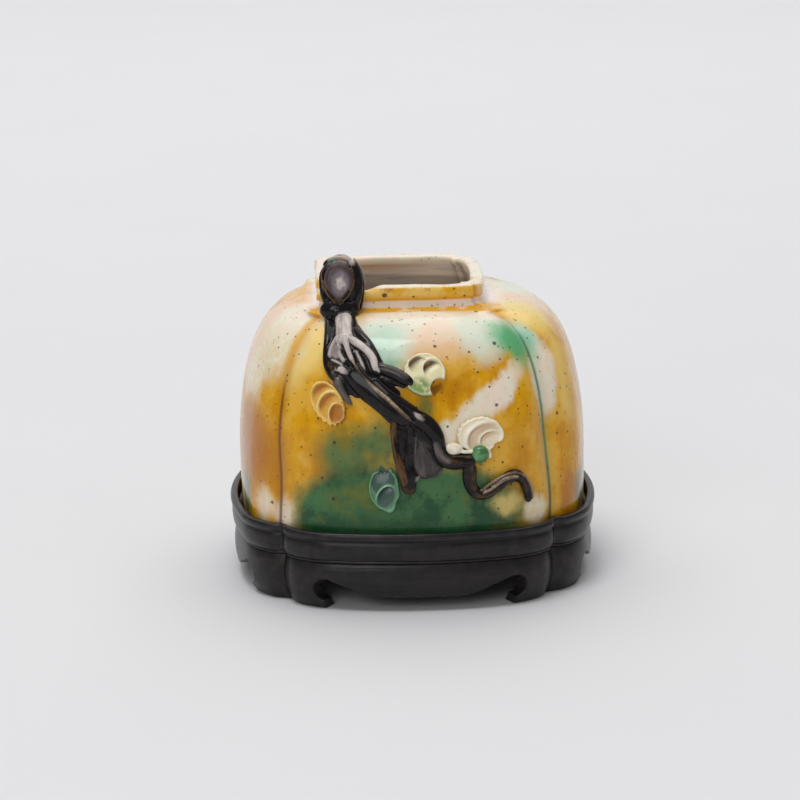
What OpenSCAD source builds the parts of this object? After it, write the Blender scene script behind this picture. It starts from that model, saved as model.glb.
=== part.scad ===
// Four-lobed water coupe with a luted branch and sprigs, standing in its fitted wooden stand.
// The front faces -Y, and the origin lies on the ground below the middle of the stand.

/* [Vessel] */
// Width of the vessel across the middle of two opposite panels
vessel_w = 79; // [62:0.5:96]
// Height of the vessel body from its foot to the flat under the neck
body_h = 48.6; // [40:0.2:60]
// Height of the widest level above the foot
belly_h = 9.1; // [5:0.1:14]
// How far the wall draws in from the widest level to the foot
foot_in = 0.4; // [0:0.1:1.5]
// Thickness of the wall
wall = 3.4; // [2.5:0.1:4.5]
// Thickness of the base slab
base_t = 4; // [3:0.1:6]
// Hollow under the base slab, inside the foot
base_recess = 0.8; // [0.4:0.1:1.6]

/* [Neck] */
// Width of the neck across its lip
neck_w = 39.4; // [32:0.2:47.6]
// Height of the neck above the shoulder
neck_h = 5.2; // [4:0.1:7]
// Thickness of the neck at its lip
neck_t = 3.3; // [2.4:0.1:4.2]
// How far the lip stands out from the neck below it
lip_out = 0.6; // [0.2:0.1:1]
// How far the neck sits to one side of the vessel's middle
neck_shift = -1.8; // [-3:0.1:3]
// Width of the shoulder flat outside the neck
shoulder_flat = 1.2; // [0.8:0.1:2]

/* [Branch] */
// Half width of the trunk
trunk_half = 2.8; // [2.2:0.1:3]
// How far the trunk stands out from the vessel
trunk_out = 3.1; // [2:0.1:3.4]
// Half width of the legs below the fork
leg_half = 1.9; // [1.4:0.1:2]
// Half width of the twigs
twig_half = 1.2; // [0.8:0.1:1.3]
// Half width of the stump at the neck
stump_half = 4.7; // [3.8:0.1:5.4]
// How far the stump rises above the lip
stump_rise = 7.2; // [4:0.1:9]
// Thickness of the sprigs at their edge
sprig_t = 1.2; // [0.8:0.1:1.8]
// Gap left for the slip that lutes clay to the vessel
lute = 0.1; // [0.08:0.01:0.2]
// Gap left for the slip between two coils
cope = 0.2; // [0.15:0.01:0.3]

/* [Stand] */
// Height of the aprons and their feet
apron_h = 10.9; // [9:0.1:14]
// Thickness of the aprons
apron_t = 3.2; // [2.4:0.1:4.2]
// How far the aprons stand back from the rim
apron_in = 0.6; // [0.3:0.1:1.2]
// Thickness of the tray under the vessel
floor_t = 3.9; // [3:0.1:5.5]
// Depth of the tray's recess
recess = 3.2; // [2:0.1:4]
// Width of the tray's rim
rim_w = 1.7; // [1.2:0.1:3]
// Gap around the vessel in the tray
vessel_gap = 0.8; // [0.4:0.1:1.5]
// Gap under the vessel in the tray
seat_gap = 0.1; // [0.05:0.01:0.3]
// Depth of the waist under the tray's moulding
waist = 1.5; // [0.8:0.1:2]
// Height of the lip above the moulding
rim_lip = 2; // [1.4:0.1:2.6]
// Width of a foot from its tip to the corner
foot_w = 8.9; // [7:0.1:11]
// Width of the flat at the bottom of an apron's middle drop
drop_w = 17.4; // [10:0.1:22]
// Height of the middle drop above the ground
drop_z = 3.2; // [2:0.1:4.2]
// Radius of the round notch beside each foot
notch_r = 2.6; // [1.8:0.1:2.8]
// Height of the notch's centre above the ground
notch_z = 4.6; // [4.2:0.1:5.2]
// Gap between two aprons at a corner
mitre_gap = 0.1; // [0.05:0.01:0.4]

/* [Plan] */
// Radius at the ends of a panel, as a share of the half width
end_r = 0.42; // [0.36:0.01:0.5]
// The same radius on the neck, which is squarer than the body
neck_end_r = 0.17; // [0.14:0.01:0.42]
// Turn of a panel from its middle to where the end radius begins
mid_turn = 14; // [12:1:16]
// Turn of a panel from its middle to the corner groove
end_turn = 60; // [54:1:64]
// Steps along the middle of a panel
mid_steps = 4; // [2:2:8]
// Steps along each end of a panel
end_steps = 5; // [3:1:8]

/* [Shoulder] */
// Fullness of the shoulder in height
rise_power = 2.7; // [2.2:0.1:3.2]
// Fullness of the shoulder across
spread_power = 4.3; // [3.6:0.1:5]
// Half width at which the shoulder's curve would close
close_half = 9.7; // [6:0.1:12]

/* [Hidden] */
glaze = "goldenrod";
biscuit = "tan";
bark = "#3a2f33";
amber = "#c98a1a";
leaf_green = "#3f9a63";
cream = "#ece3c4";
wood = "#2a1d18";

// The branch is drawn for a body of this width and height, and shrinks with the smaller of the two
drawn_w = 79;
drawn_h = 48.6;
branch = min(vessel_w / drawn_w, body_h / drawn_h);

vessel_half = vessel_w / 2;
neck_half = neck_w / 2;
hole_half = neck_half - neck_t;
tray_half = vessel_half + vessel_gap + rim_w;
recess_half = vessel_half + vessel_gap;
apron_half = tray_half - apron_in;
floor_z = apron_h + floor_t;
rim_z = floor_z + recess;
foot_z = floor_z + seat_gap;
belly_z = foot_z + belly_h;
top_z = foot_z + body_h;
neck_z = top_z + lute;
mouth_z = neck_z + neck_h;

// The plan, as shares of the half width: a middle arc and two end arcs on each of the four panels
// Each plan is [radius of the middle arc, radius of the end arcs, and the end arcs' centre across and deep]
function mid_of(e) = (1 + e * (sin(mid_turn) - sin(end_turn) - cos(mid_turn) + cos(end_turn)))
  / (1 + sin(mid_turn) - cos(mid_turn));
function plan_of(e) = let(m = mid_of(e))
  [m, e, (m - e) * sin(mid_turn), 1 - m + (m - e) * cos(mid_turn)];
function groove_of(plan) = plan[2] + plan[1] * sin(end_turn);
body_plan = plan_of(end_r);
neck_plan = plan_of(neck_end_r);
groove = groove_of(body_plan);
turns = concat(
  [for (i = [0:end_steps - 1]) -end_turn + (end_turn - mid_turn) * i / end_steps],
  [for (i = [0:mid_steps - 1]) -mid_turn + 2 * mid_turn * i / mid_steps],
  [for (i = [0:end_steps - 1]) mid_turn + (end_turn - mid_turn) * i / end_steps]);

function panel_at(t, plan) = abs(t) <= mid_turn
  ? [plan[0] * sin(t), plan[0] - 1 - plan[0] * cos(t)]
  : [sign(t) * plan[2] + plan[1] * sin(t), -plan[3] - plan[1] * cos(t)];
function turned(p, a) = [p[0] * cos(a) - p[1] * sin(a), p[0] * sin(a) + p[1] * cos(a)];
function outline_of(plan) = [for (k = [0:3]) for (t = turns) turned(panel_at(t, plan), 90 * k)];
body_outline = outline_of(body_plan);
neck_outline = outline_of(neck_plan);
function ring(half, z, shift = 0, outline = body_outline) =
  [for (p = outline) [shift + half * p[0], half * p[1], z]];

// Depth of the plan at a share x from the middle, on the front panel or past its corner groove
function on_arc(r, x) = sqrt(max(0, r * r - x * x));
function front_edge(x, plan = body_plan) =
  x <= plan[0] * sin(mid_turn) ? 1 - plan[0] + on_arc(plan[0], x)
  : x <= groove_of(plan) ? plan[3] + on_arc(plan[1], x - plan[2])
  : x <= plan[3] + plan[1] * cos(mid_turn) ? plan[2] + on_arc(plan[1], x - plan[3])
  : on_arc(plan[0], x - 1 + plan[0]);
function front_y(x, half, plan = body_plan) = -half * front_edge(min(abs(x) / half, 1), plan);

// The vessel's profile: half width by turn along the shoulder, and by height
shoulder_half = neck_half + shoulder_flat;
function turn_by_half(half) = acos(pow((half - close_half) / (vessel_half - close_half), spread_power / 2));
top_turn = turn_by_half(shoulder_half);
shoulder_h = (body_h - belly_h) / pow(sin(top_turn), 2 / rise_power);
function half_by_turn(t, half) = close_half + (half - close_half) * pow(cos(t), 2 / spread_power);
function rise_by_turn(t, h) = belly_z + h * pow(sin(t), 2 / rise_power);
function half_by_z(z) = z < belly_z
  ? vessel_half - foot_in * pow((belly_z - z) / belly_h, 2)
  : close_half + (vessel_half - close_half)
    * pow(max(0, 1 - pow((z - belly_z) / shoulder_h, rise_power)), 1 / spread_power);
function z_by_half(half) = belly_z
  + shoulder_h * pow(1 - pow((half - close_half) / (vessel_half - close_half), spread_power), 1 / rise_power);

// The neck pulls the top of the shoulder to its side
shift_turn = 72;
function shift_by_turn(t) = neck_shift * max(0, (t - shift_turn) / (top_turn - shift_turn));

// Length down the middle of the front panel from the shoulder's edge, against the turn there
down_steps = 48;
function turn_of(i) = top_turn * (1 - i / down_steps);
function profile_of(i) = [half_by_turn(turn_of(i), vessel_half), rise_by_turn(turn_of(i), shoulder_h)];
function run(i) = i == 0 ? 0 : run(i - 1) + norm(profile_of(i) - profile_of(i - 1));
down_table = [for (i = [0:down_steps]) [run(i), turn_of(i)]];
belly_down = run(down_steps);
function turn_by_down(s) = lookup(s, down_table);
function down_by_half(half) = lookup(turn_by_half(half), [for (d = down_table) [d[1], d[0]]]);

// Half width of the plan through a point in front of the axis, found by halving
function half_through(x, y, low, high, n = 16) = let(mid = (low + high) / 2)
  n == 0 ? mid
  : -front_y(x, mid) < -y ? half_through(x, y, mid, high, n - 1)
  : half_through(x, y, low, mid, n - 1);

// A point laid on the front of the vessel: x across, s down from the shoulder's edge, out along the normal
probe = 0.05;
function on_shoulder(x, t) =
  [x, front_y(x - shift_by_turn(t), half_by_turn(t, vessel_half)), rise_by_turn(t, shoulder_h)];
function on_wall(x, z) = [x, front_y(x, half_by_z(z)), z];
function on_skin(x, s) = s < belly_down
  ? on_shoulder(x, turn_by_down(s))
  : on_wall(x, belly_z + belly_down - s);
function unit(v) = v / norm(v);
function on_front(x, s, out) = let(
  across = on_skin(x + probe, s) - on_skin(x - probe, s),
  up = on_skin(x, s - probe) - on_skin(x, s + probe))
  on_skin(x, s) + out * unit(cross(across, up));

function total(v, i = 0) = i == len(v) ? [0, 0, 0] : v[i] + total(v, i + 1);
function middle(ring) = total(ring) / len(ring);

// Joins a stack of rings into one closed solid: capped at both ends, or round on itself as a hollow wall
module skin(rings, hollow = false) {
  n = len(rings[0]);
  m = len(rings);
  sides = [for (i = [0:hollow ? m - 1 : m - 2]) for (j = [0:n - 1])
    let(k = (j + 1) % n, low = i * n, high = (i + 1) % m * n)
    each [[low + j, high + j, high + k], [low + j, high + k, low + k]]];
  ends = [for (j = [0:n - 1]) let(k = (j + 1) % n, high = (m - 1) * n)
    each [[m * n, j, k], [m * n + 1, high + k, high + j]]];
  points = [for (r = rings) each r];
  if (hollow) {
    polyhedron(points, sides);
  } else {
    polyhedron(concat(points, [middle(rings[0]), middle(rings[m - 1])]), concat(sides, ends));
  }
}

outer_turns = [0, 8, 15, 21, 27, 33, 39, 45, 51, 57, 62, 67, 72, 77];
inner_turns = [84, 79, 72, 63, 54, 44, 33, 20, 0];
hem = 0.7;

module vessel_shell() {
  inner_half = vessel_half - wall;
  inner_h = shoulder_h - wall;
  hole_turn = acos(pow((hole_half - close_half) / (inner_half - close_half), spread_power / 2));
  lower = [for (i = [0:2]) foot_z + hem + (belly_h - hem) * i / 3];
  shoulder_turns = concat([for (t = outer_turns) if (t < top_turn - 3) t], [top_turn]);
  color(glaze) skin(concat(
    [ring(half_by_z(foot_z) - hem, foot_z)],
    [for (z = lower) ring(half_by_z(z), z)],
    [for (t = shoulder_turns)
      ring(half_by_turn(t, vessel_half), rise_by_turn(t, shoulder_h), shift_by_turn(t))],
    [ring(hole_half, top_z, neck_shift)],
    [for (t = concat([hole_turn], [for (u = inner_turns) if (u < hole_turn - 3) u]))
      ring(half_by_turn(t, inner_half), rise_by_turn(t, inner_h),
      neck_shift * max(0, (t - shift_turn) / (hole_turn - shift_turn)))],
    [ring(inner_half, foot_z)]), hollow = true);
}

module base_slab() {
  slab_half = vessel_half - wall - lute;
  low = foot_z + base_recess;
  round_in = 0.5;
  color(biscuit) skin([ring(slab_half, low), ring(slab_half, low + base_t - round_in),
    ring(slab_half - round_in, low + base_t)]);
}

module neck_collar() {
  neck_low = neck_half - lip_out;
  lip_low = neck_z + 0.4 * neck_h;
  soft = 0.5;
  profile = [[neck_low + soft, neck_z], [neck_low, neck_z + soft], [neck_low, lip_low - soft],
    [neck_half, lip_low + soft / 2], [neck_half, mouth_z - 2 * soft], [neck_half - soft, mouth_z - soft / 3],
    [neck_half - 2 * soft, mouth_z], [hole_half + soft, mouth_z], [hole_half, mouth_z - soft],
    [hole_half, neck_z]];
  color(glaze) skin([for (p = profile) ring(p[0], p[1], neck_shift, neck_outline)], hollow = true);
}

// The stump wraps the neck's front left corner and leans back over its lip
stump_x = neck_shift - groove * neck_half;
stump_y = -neck_half + 1;
stump_deep = 5 * branch;
stump_front = stump_y - stump_deep;
lip_clear = mouth_z + lute;
stump_top = mouth_z + stump_rise;

module stump_form(grow = 0) {
  sides = 24;
  clear = lute + 0.25;
  front = 270;
  // Each level is [height, share of half width, share of depth, lean back, husk, wrapped round the neck]
  levels = [[neck_z + 1, 0.84, 0.96, 0, 0, true],
    [neck_z + neck_h / 2, 0.96, 1, 0, 0.05, true],
    [lip_clear, 1, 0.98, 0.3, 0.12, true],
    [lip_clear, 1, 0.98, 0.3, 0.12, false],
    [lip_clear + 0.25 * stump_rise, 1, 0.95, 0.7, 0.16, false],
    [lip_clear + 0.48 * stump_rise, 0.94, 0.88, 1.2, 0.16, false],
    [lip_clear + 0.68 * stump_rise, 0.82, 0.78, 1.6, 0.1, false],
    [lip_clear + 0.87 * stump_rise, 0.56, 0.54, 2, 0, false],
    [stump_top, 0.2, 0.2, 2.2, 0, false]];
  // The husk is drawn in on both sides of the bud that swells at its front
  function husk(t) = 0.6 * exp(-pow((t - front) / 22, 2)) - exp(-pow((abs(t - front) - 48) / 12, 2));
  function outside(p) = [p[0], min(p[1], front_y(p[0] - neck_shift, neck_half + clear, neck_plan))];
  function rim(l) = [for (i = [0:sides - 1]) let(t = 360 * i / sides, swell = 1 + l[4] * husk(t),
    p = [stump_x + (stump_half * l[1] * swell + grow) * cos(t),
      stump_y + l[3] + (stump_deep * l[2] * swell + grow) * sin(t)])
    l[5] ? outside(p) : p];
  function on_top(p) = let(half = half_through(p[0] - neck_shift, p[1], neck_half - 1, vessel_half))
    [p[0], p[1], (half < shoulder_half ? top_z : z_by_half(half)) + lute - sink * grow];
  seat = [for (p = rim(levels[0])) on_top(p)];
  seat_mid = middle(seat);
  inner_seat = [for (p = seat) on_top((p + seat_mid) / 2)];
  skin(concat([inner_seat, seat], [for (l = levels) [for (p = rim(l)) [p[0], p[1], l[0]]]]));
}

// A grown form reaches this many times its growth below the surface, so that it cuts clean through
sink = 4;

// Drawn points are [across, down, share] from a place below the foot of the stump, on the shoulder
start_half = half_through(stump_x - neck_shift, stump_front, neck_half, vessel_half);
start_drop = 0.95 * branch;
start_down = down_by_half(start_half) + start_drop;
function placed(p, half = 0, out = 0) = [stump_x + p[0] * branch, start_down + p[1] * branch,
  half * p[2] * branch, out * p[2] * branch];

// Swept clay coils, round on top and flat where they are luted, with ribs where the bark is twisted.
// A grown coil is the room that a coil takes with the slip round it.
function coil_section(rib) = concat(
  [for (t = [0:rib > 0 ? 15 : 30:180]) (1 + rib * cos(3 * (t - 90))) * [cos(t), sin(t)]],
  [[-0.5, 0], [0, 0], [0.5, 0]]);
function nose(i, n) = min(1, 0.6 + 0.25 * min(i, n - 1 - i));
function curve(p, steps) = let(last = len(p) - 1) concat(
  [for (i = [0:last - 1]) for (s = [0:steps - 1])
    let(t = s / steps, a = p[max(i - 1, 0)], b = p[i], c = p[i + 1], d = p[min(i + 2, last)])
    0.5 * (2 * b + (c - a) * t + (2 * a - 5 * b + 4 * c - d) * t * t + (3 * b - a - 3 * c + d) * t * t * t)],
  [p[last]]);
function coil_ring(p, dir, half, low, out, ahead, section) = [for (q = section)
  on_front(p[0] + dir[0] * ahead + dir[1] * q[0] * half, p[1] + dir[1] * ahead - dir[0] * q[0] * half,
    q[1] > 0 ? lute + q[1] * out : low)];

module coil(points, half, out, steps = 3, rib = 0, grow = 0) {
  path = curve([for (p = points) placed(p, half, out)], steps);
  n = len(path);
  section = coil_section(rib);
  skin([for (i = [0:n - 1]) let(
    p = path[i],
    way = path[min(i + 1, n - 1)] - path[max(i - 1, 0)],
    s = nose(i, n),
    low = lute - sink * grow,
    ahead = i == 0 ? -grow : i == n - 1 ? grow : 0)
    coil_ring(p, unit([way[0], way[1]]), p[2] * s + grow, low, p[3] * s + grow, ahead, section)]);
}

// A domed sprig: crescent hollows nested round an eye, nicks in the edge beyond it and a drawn-out tip
module sprig(at, wide, tall, eye, pitch, nick, tip, tip_to, grow = 0) {
  sides = 26;
  dome = 1.1 * branch;
  hollow = 0.8 * branch;
  edge_t = lute + sprig_t * branch + grow;
  middle_at = placed([at[0], at[1], 1]);
  function edge(t) = tip * pow(max(0, cos(t - tip_to)), 8)
    - nick * pow(max(0, cos(t - eye)), 2) * (0.5 + 0.5 * cos(9 * (t - eye)));
  function reach(t, r) = r * (1 + edge(t) * pow(r, 3));
  function spot(t, r) = [middle_at[0] + (wide * branch + grow) * reach(t, r) * cos(t),
    middle_at[1] - (tall * branch + grow) * reach(t, r) * sin(t)];
  function from_eye(t, r) = norm(r * [cos(t), sin(t)] - 0.55 * [cos(eye), sin(eye)]);
  function height(t, r) = edge_t + dome * (1 - r * r)
    - hollow * (0.5 + 0.5 * cos(360 * from_eye(t, r) / pitch)) * (1 - pow(r, 6));
  function layer(r, flat) = [for (i = [0:sides - 1]) let(t = 360 * i / sides, p = spot(t, r))
    on_front(p[0], p[1], flat ? lute - sink * grow : height(t, r))];
  skin(concat(
    [for (r = [0.25, 0.6, 1]) layer(r, true)],
    [for (r = [0.97, 0.84, 0.7, 0.56, 0.42, 0.28, 0.14]) layer(r, false)]));
}

module trunk_form(grow = 0) {
  coil([[0, -3, 1], [0, 2.4, 1], [-0.2, 6.8, 1], [-0.4, 10.5, 1.03], [1.8, 13.5, 1.03], [5.8, 16.1, 0.97],
    [10.2, 18.8, 0.93], [14.2, 21.5, 0.9]], trunk_half, trunk_out, rib = 0.12, grow = grow);
}

module finger_form(grow = 0) {
  coil([[1.4, 3.2, 0.9], [3.7, 5.3, 1], [5.4, 8, 1], [7.1, 10.4, 1], [8.2, 12, 0.9]], twig_half, 2,
    grow = grow);
}

module left_leg_form(grow = 0) {
  coil([[11, 20, 0.9], [12.1, 23.4, 1], [12, 27.2, 1], [12.2, 31.2, 1], [13.2, 35.7, 0.95],
    [14.2, 40.1, 0.95]], leg_half, 2.8, grow = grow);
}

module right_leg_form(grow = 0) {
  coil([[13, 20.9, 0.9], [16, 22.6, 1], [18.6, 25.1, 1], [20.5, 28.7, 1], [21.6, 31.7, 0.95],
    [24.4, 33.5, 0.85], [28.4, 32.9, 0.8]], leg_half, 2.8, grow = grow);
}

module lower_form(grow = 0) {
  sprig([29.8, 27.1], 4.4, 3.8, -45, 0.56, 0.08, 0.14, 0, grow);
}

module upper_form(grow = 0) {
  sprig([17.8, 13.8], 4.4, 4.2, -30, 0.7, 0.16, 0, 0, grow);
}

module branch_stump() {
  color(bark) stump_form();
}

module branch_trunk() {
  color(bark) difference() {
    trunk_form();
    stump_form(cope);
  }
}

module root_finger() {
  color(bark) difference() {
    finger_form();
    trunk_form(cope);
  }
}

module upper_twig() {
  color(bark) difference() {
    coil([[4, 12.6, 1], [7, 13.2, 1], [9.7, 13.6, 1.1], [11.8, 14.3, 1.2], [15, 15, 1]], twig_half, 1.9);
    trunk_form(cope);
    finger_form(cope);
    upper_form(cope);
  }
}

module left_twig() {
  color(bark) difference() {
    coil([[-0.6, 12.4, 0.8], [-1, 15, 0.8], [0.3, 17.8, 0.75], [2.1, 20.3, 0.7]], twig_half, 2.2);
    trunk_form(cope);
  }
}

module left_leg() {
  color(bark) difference() {
    left_leg_form();
    trunk_form(cope);
  }
}

module right_leg() {
  color(bark) difference() {
    right_leg_form();
    trunk_form(cope);
    left_leg_form(cope);
  }
}

module fork_web() {
  color(bark) difference() {
    coil([[14.4, 23.4, 1.2], [15.6, 27.4, 2.2], [16.6, 31, 2.6], [17, 34.4, 2.3]], twig_half, 0.6);
    left_leg_form(cope);
    right_leg_form(cope);
  }
}

module tendril() {
  color(bark) difference() {
    coil([[27.6, 33, 1], [27.1, 34.9, 1], [26.6, 37.2, 1], [27.5, 39.8, 1], [30, 40.8, 1], [33, 39.5, 1],
      [35.6, 37.5, 1], [37.9, 37.1, 0.95], [39.4, 38.8, 0.9], [40.1, 41.6, 0.8], [40, 43.8, 0.65]],
      twig_half, 1.9);
    right_leg_form(cope);
  }
}

module bud() {
  color(cream) difference() {
    coil([[22.6, 30.6, 1], [24.9, 29.9, 1.2], [27.6, 29.5, 1]], twig_half, 1.6, 2);
    right_leg_form(cope);
    lower_form(cope);
  }
}

module calyx_bead() {
  bead_r = 1.9 * branch;
  seat = placed([29.6, 32, 1]);
  color(leaf_green) difference() {
    translate(on_front(seat[0], seat[1], bead_r + lute)) sphere(r = bead_r, $fn = 32);
    right_leg_form(cope);
    lower_form(cope);
  }
}

module sprig_amber() {
  color(amber) sprig([-3.7, 20.5], 3.5, 4.3, -50, 0.48, 0.12, 0, 0);
}

module sprig_upper() {
  color(cream) upper_form();
}

module sprig_lower() {
  color(cream) lower_form();
}

module sprig_green() {
  color(leaf_green) sprig([8.5, 38.5], 3.1, 4.5, -110, 0.8, 0.06, 0.2, -70);
}

// Rings of the tray: moulding, lip, rim and recess
module tray() {
  mould_low = tray_half - waist;
  mould_mid = (apron_h + rim_z - rim_lip) / 2;
  mould_rise = (rim_z - rim_lip - apron_h) / 2;
  mould_out = waist - 0.3;
  soft = 0.4;
  profile = concat(
    [for (t = [-75:30:75]) [mould_low + mould_out * cos(t), mould_mid + mould_rise * sin(t) / sin(75)]],
    [[tray_half - soft / 2, rim_z - rim_lip + soft], [tray_half, rim_z - rim_lip + 2 * soft],
    [tray_half, rim_z - soft], [tray_half - soft, rim_z], [recess_half + soft / 2, rim_z],
    [recess_half, rim_z - soft / 2], [recess_half, floor_z]]);
  color(wood) skin([for (p = profile) ring(p[0], p[1])]);
}

// One apron with its two half feet, on the front side, mitred at the corner grooves
corner_x = groove * apron_half - mitre_gap / (sqrt(2) * (1 + tan(end_turn)));
tip_x = groove * apron_half - foot_w;
notch_x = tip_x - 0.6;
arch_z = notch_z + 0.8 * notch_r;
tip_step = 0.2;
apron_rows = 5;
half_stations = concat([0, drop_w / 4],
  [for (i = [0:4]) drop_w / 2 + (notch_x - drop_w / 2) * i / 4],
  [tip_x, tip_x + tip_step],
  [for (i = [1:3]) tip_x + tip_step + (corner_x - tip_x - tip_step) * i / 3]);
stations = concat([for (i = [len(half_stations) - 1:-1:1]) -half_stations[i]], half_stations);
function apron_low(x) = let(t = min(1, max(0, (abs(x) - drop_w / 2) / (notch_x - drop_w / 2))))
  abs(x) > tip_x ? 0 : drop_z + (arch_z - drop_z) * t * t * (3 - 2 * t);
function apron_face(z) = apron_half
  - (waist - apron_in) * pow(z / apron_h, 5) - 0.5 * pow(1 - z / apron_h, 3);
function apron_column(x) = let(share = x / apron_half, deep = -front_edge(abs(share)), low = apron_low(x))
  concat(
    [for (i = [0:apron_rows]) let(z = low + (apron_h - low) * i / apron_rows, half = apron_half - apron_t)
      [share * half, deep * half, z]],
    [for (i = [apron_rows:-1:0]) let(z = low + (apron_h - low) * i / apron_rows, half = apron_face(z))
      [share * half, deep * half, z]]);

module apron(side) {
  notch_y = front_y(notch_x, apron_half) + apron_t / 2;
  color(wood) rotate(90 * side) difference() {
    skin([for (x = stations) apron_column(x)]);
    for (s = [-1, 1]) {
      translate([s * notch_x, notch_y, notch_z]) rotate([90, 0, 0])
        cylinder(r = notch_r, h = 4 * apron_t, center = true, $fn = 48);
    }
  }
}

vessel_shell();
base_slab();
neck_collar();
branch_stump();
branch_trunk();
root_finger();
upper_twig();
left_twig();
left_leg();
right_leg();
fork_web();
tendril();
bud();
calyx_bead();
sprig_amber();
sprig_upper();
sprig_lower();
sprig_green();
tray();
apron(0);  // apron_front
apron(1);  // apron_right
apron(2);  // apron_back
apron(3);  // apron_left
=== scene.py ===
import math
from bisect import bisect_right

import bmesh
import bpy
import numpy as np
from bpy.props import FloatProperty, FloatVectorProperty, PointerProperty
from mathutils import Matrix, Vector, noise


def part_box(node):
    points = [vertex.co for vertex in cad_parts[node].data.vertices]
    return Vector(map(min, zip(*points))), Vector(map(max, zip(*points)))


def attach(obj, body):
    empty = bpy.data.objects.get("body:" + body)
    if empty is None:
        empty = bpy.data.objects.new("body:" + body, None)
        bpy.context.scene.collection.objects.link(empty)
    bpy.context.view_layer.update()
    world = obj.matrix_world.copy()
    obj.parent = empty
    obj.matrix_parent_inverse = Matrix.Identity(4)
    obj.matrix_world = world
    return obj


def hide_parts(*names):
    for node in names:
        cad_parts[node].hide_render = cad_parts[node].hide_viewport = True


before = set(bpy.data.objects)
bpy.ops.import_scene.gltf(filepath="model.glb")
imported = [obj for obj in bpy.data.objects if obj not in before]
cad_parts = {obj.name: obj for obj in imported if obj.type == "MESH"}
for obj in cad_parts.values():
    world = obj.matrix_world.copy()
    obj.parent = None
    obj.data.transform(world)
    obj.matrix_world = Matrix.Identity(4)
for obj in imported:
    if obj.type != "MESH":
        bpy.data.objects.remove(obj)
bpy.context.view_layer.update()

bl_info = {
    "name": "Water coupe on a stand",
    "version": (1, 0, 0),
    "blender": (4, 5, 0),
    "location": "View3D > Sidebar > Coupe",
    "description": "Models a splash-glazed four-lobed water coupe, its luted branch and its wooden stand",
    "category": "Object",
}

MM = 0.001


def node_box(node):
    """Lowest and highest corner of a CAD node in millimetres."""
    low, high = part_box(node)
    return low / MM, high / MM


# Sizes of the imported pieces, in millimetres
SHELL_LOW, SHELL_HIGH = node_box("vessel_shell")
NECK_LOW, NECK_HIGH = node_box("neck_collar")
TRAY_LOW, TRAY_HIGH = node_box("tray")
VESSEL_HALF = SHELL_HIGH.x
FOOT_Z = SHELL_LOW.z
TOP_Z = SHELL_HIGH.z
NECK_HALF = (NECK_HIGH.x - NECK_LOW.x) / 2
NECK_SHIFT = (NECK_HIGH.x + NECK_LOW.x) / 2
MOUTH_Z = NECK_HIGH.z
TRAY_HALF = TRAY_HIGH.x
RIM_Z = TRAY_HIGH.z
APRON_H = node_box("apron_front")[1].z

# The vessel's form, as in its construction
WALL = 3.4
BELLY_H = 9.1
FOOT_IN = 0.4
HEM = 0.7
NECK_T = 3.3
SHOULDER_FLAT = 1.2
RISE_POWER = 2.7
SPREAD_POWER = 4.3
CLOSE_HALF = 9.7
BELLY_Z = FOOT_Z + BELLY_H
HOLE_HALF = NECK_HALF - NECK_T

# The four-lobed plan turns through a flat middle arc and two rounder end arcs on each panel
END_TURN = math.radians(60)
# Spacing of a ring of the plan, 0 for even and towards 1 for crowded at the grooves
CROWDING = 0.65
# Half the length over which a direction on the vessel's front is measured
PROBE = 0.2


class Plan:
    """A four-lobed plan, a unit in half width, drawn from its end arcs' radius and its middle arc's turn."""

    def __init__(self, end_r, mid_turn):
        wide = math.sin(mid_turn) - math.cos(mid_turn)
        self.end_r = end_r
        self.mid_turn = mid_turn
        self.mid_r = (1 + end_r * (wide - math.sin(END_TURN) + math.cos(END_TURN))) / (1 + wide)
        self.end_x = (self.mid_r - end_r) * math.sin(mid_turn)
        self.end_y = 1 - self.mid_r + (self.mid_r - end_r) * math.cos(mid_turn)
        self.groove = self.end_x + end_r * math.sin(END_TURN)
        self.knee = self.mid_r * math.sin(mid_turn)
        self.mid_run = self.mid_r * mid_turn
        self.run = self.mid_run + end_r * (END_TURN - mid_turn)

    def at(self, share):
        """Point of the front panel at a share of the length from its middle to its corner groove."""
        run = abs(share) * self.run
        if run <= self.mid_run:
            turn = run / self.mid_r
            x, y = self.mid_r * math.sin(turn), self.mid_r - 1 - self.mid_r * math.cos(turn)
        else:
            turn = self.mid_turn + (run - self.mid_run) / self.end_r
            x, y = self.end_x + self.end_r * math.sin(turn), -self.end_y - self.end_r * math.cos(turn)
        return Vector((math.copysign(x, share), y, 0))

    def edge(self, x):
        """Depth at a share across, on the front panel or past its corner groove."""
        x = min(abs(x), 1)
        if x <= self.knee:
            return 1 - self.mid_r + math.sqrt(self.mid_r**2 - x**2)
        if x <= self.groove:
            return self.end_y + math.sqrt(max(0, self.end_r**2 - (x - self.end_x) ** 2))
        if x <= self.end_y + self.end_r * math.cos(self.mid_turn):
            return self.end_x + math.sqrt(max(0, self.end_r**2 - (x - self.end_y) ** 2))
        return math.sqrt(max(0, self.mid_r**2 - (x - 1 + self.mid_r) ** 2))


BODY = Plan(0.42, math.radians(14))
NECK = Plan(0.10, math.radians(7))


def half_by_turn(turn, half):
    """Half width of the shoulder at a turn, which is 0 at the belly."""
    return CLOSE_HALF + (half - CLOSE_HALF) * math.cos(turn) ** (2 / SPREAD_POWER)


def turn_by_half(half, widest):
    """Turn at which the shoulder has come in to a half width."""
    return math.acos(((half - CLOSE_HALF) / (widest - CLOSE_HALF)) ** (SPREAD_POWER / 2))


def rise_by_turn(turn, height):
    """Height of the shoulder at a turn."""
    return BELLY_Z + height * max(0, math.sin(turn)) ** (2 / RISE_POWER)


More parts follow.
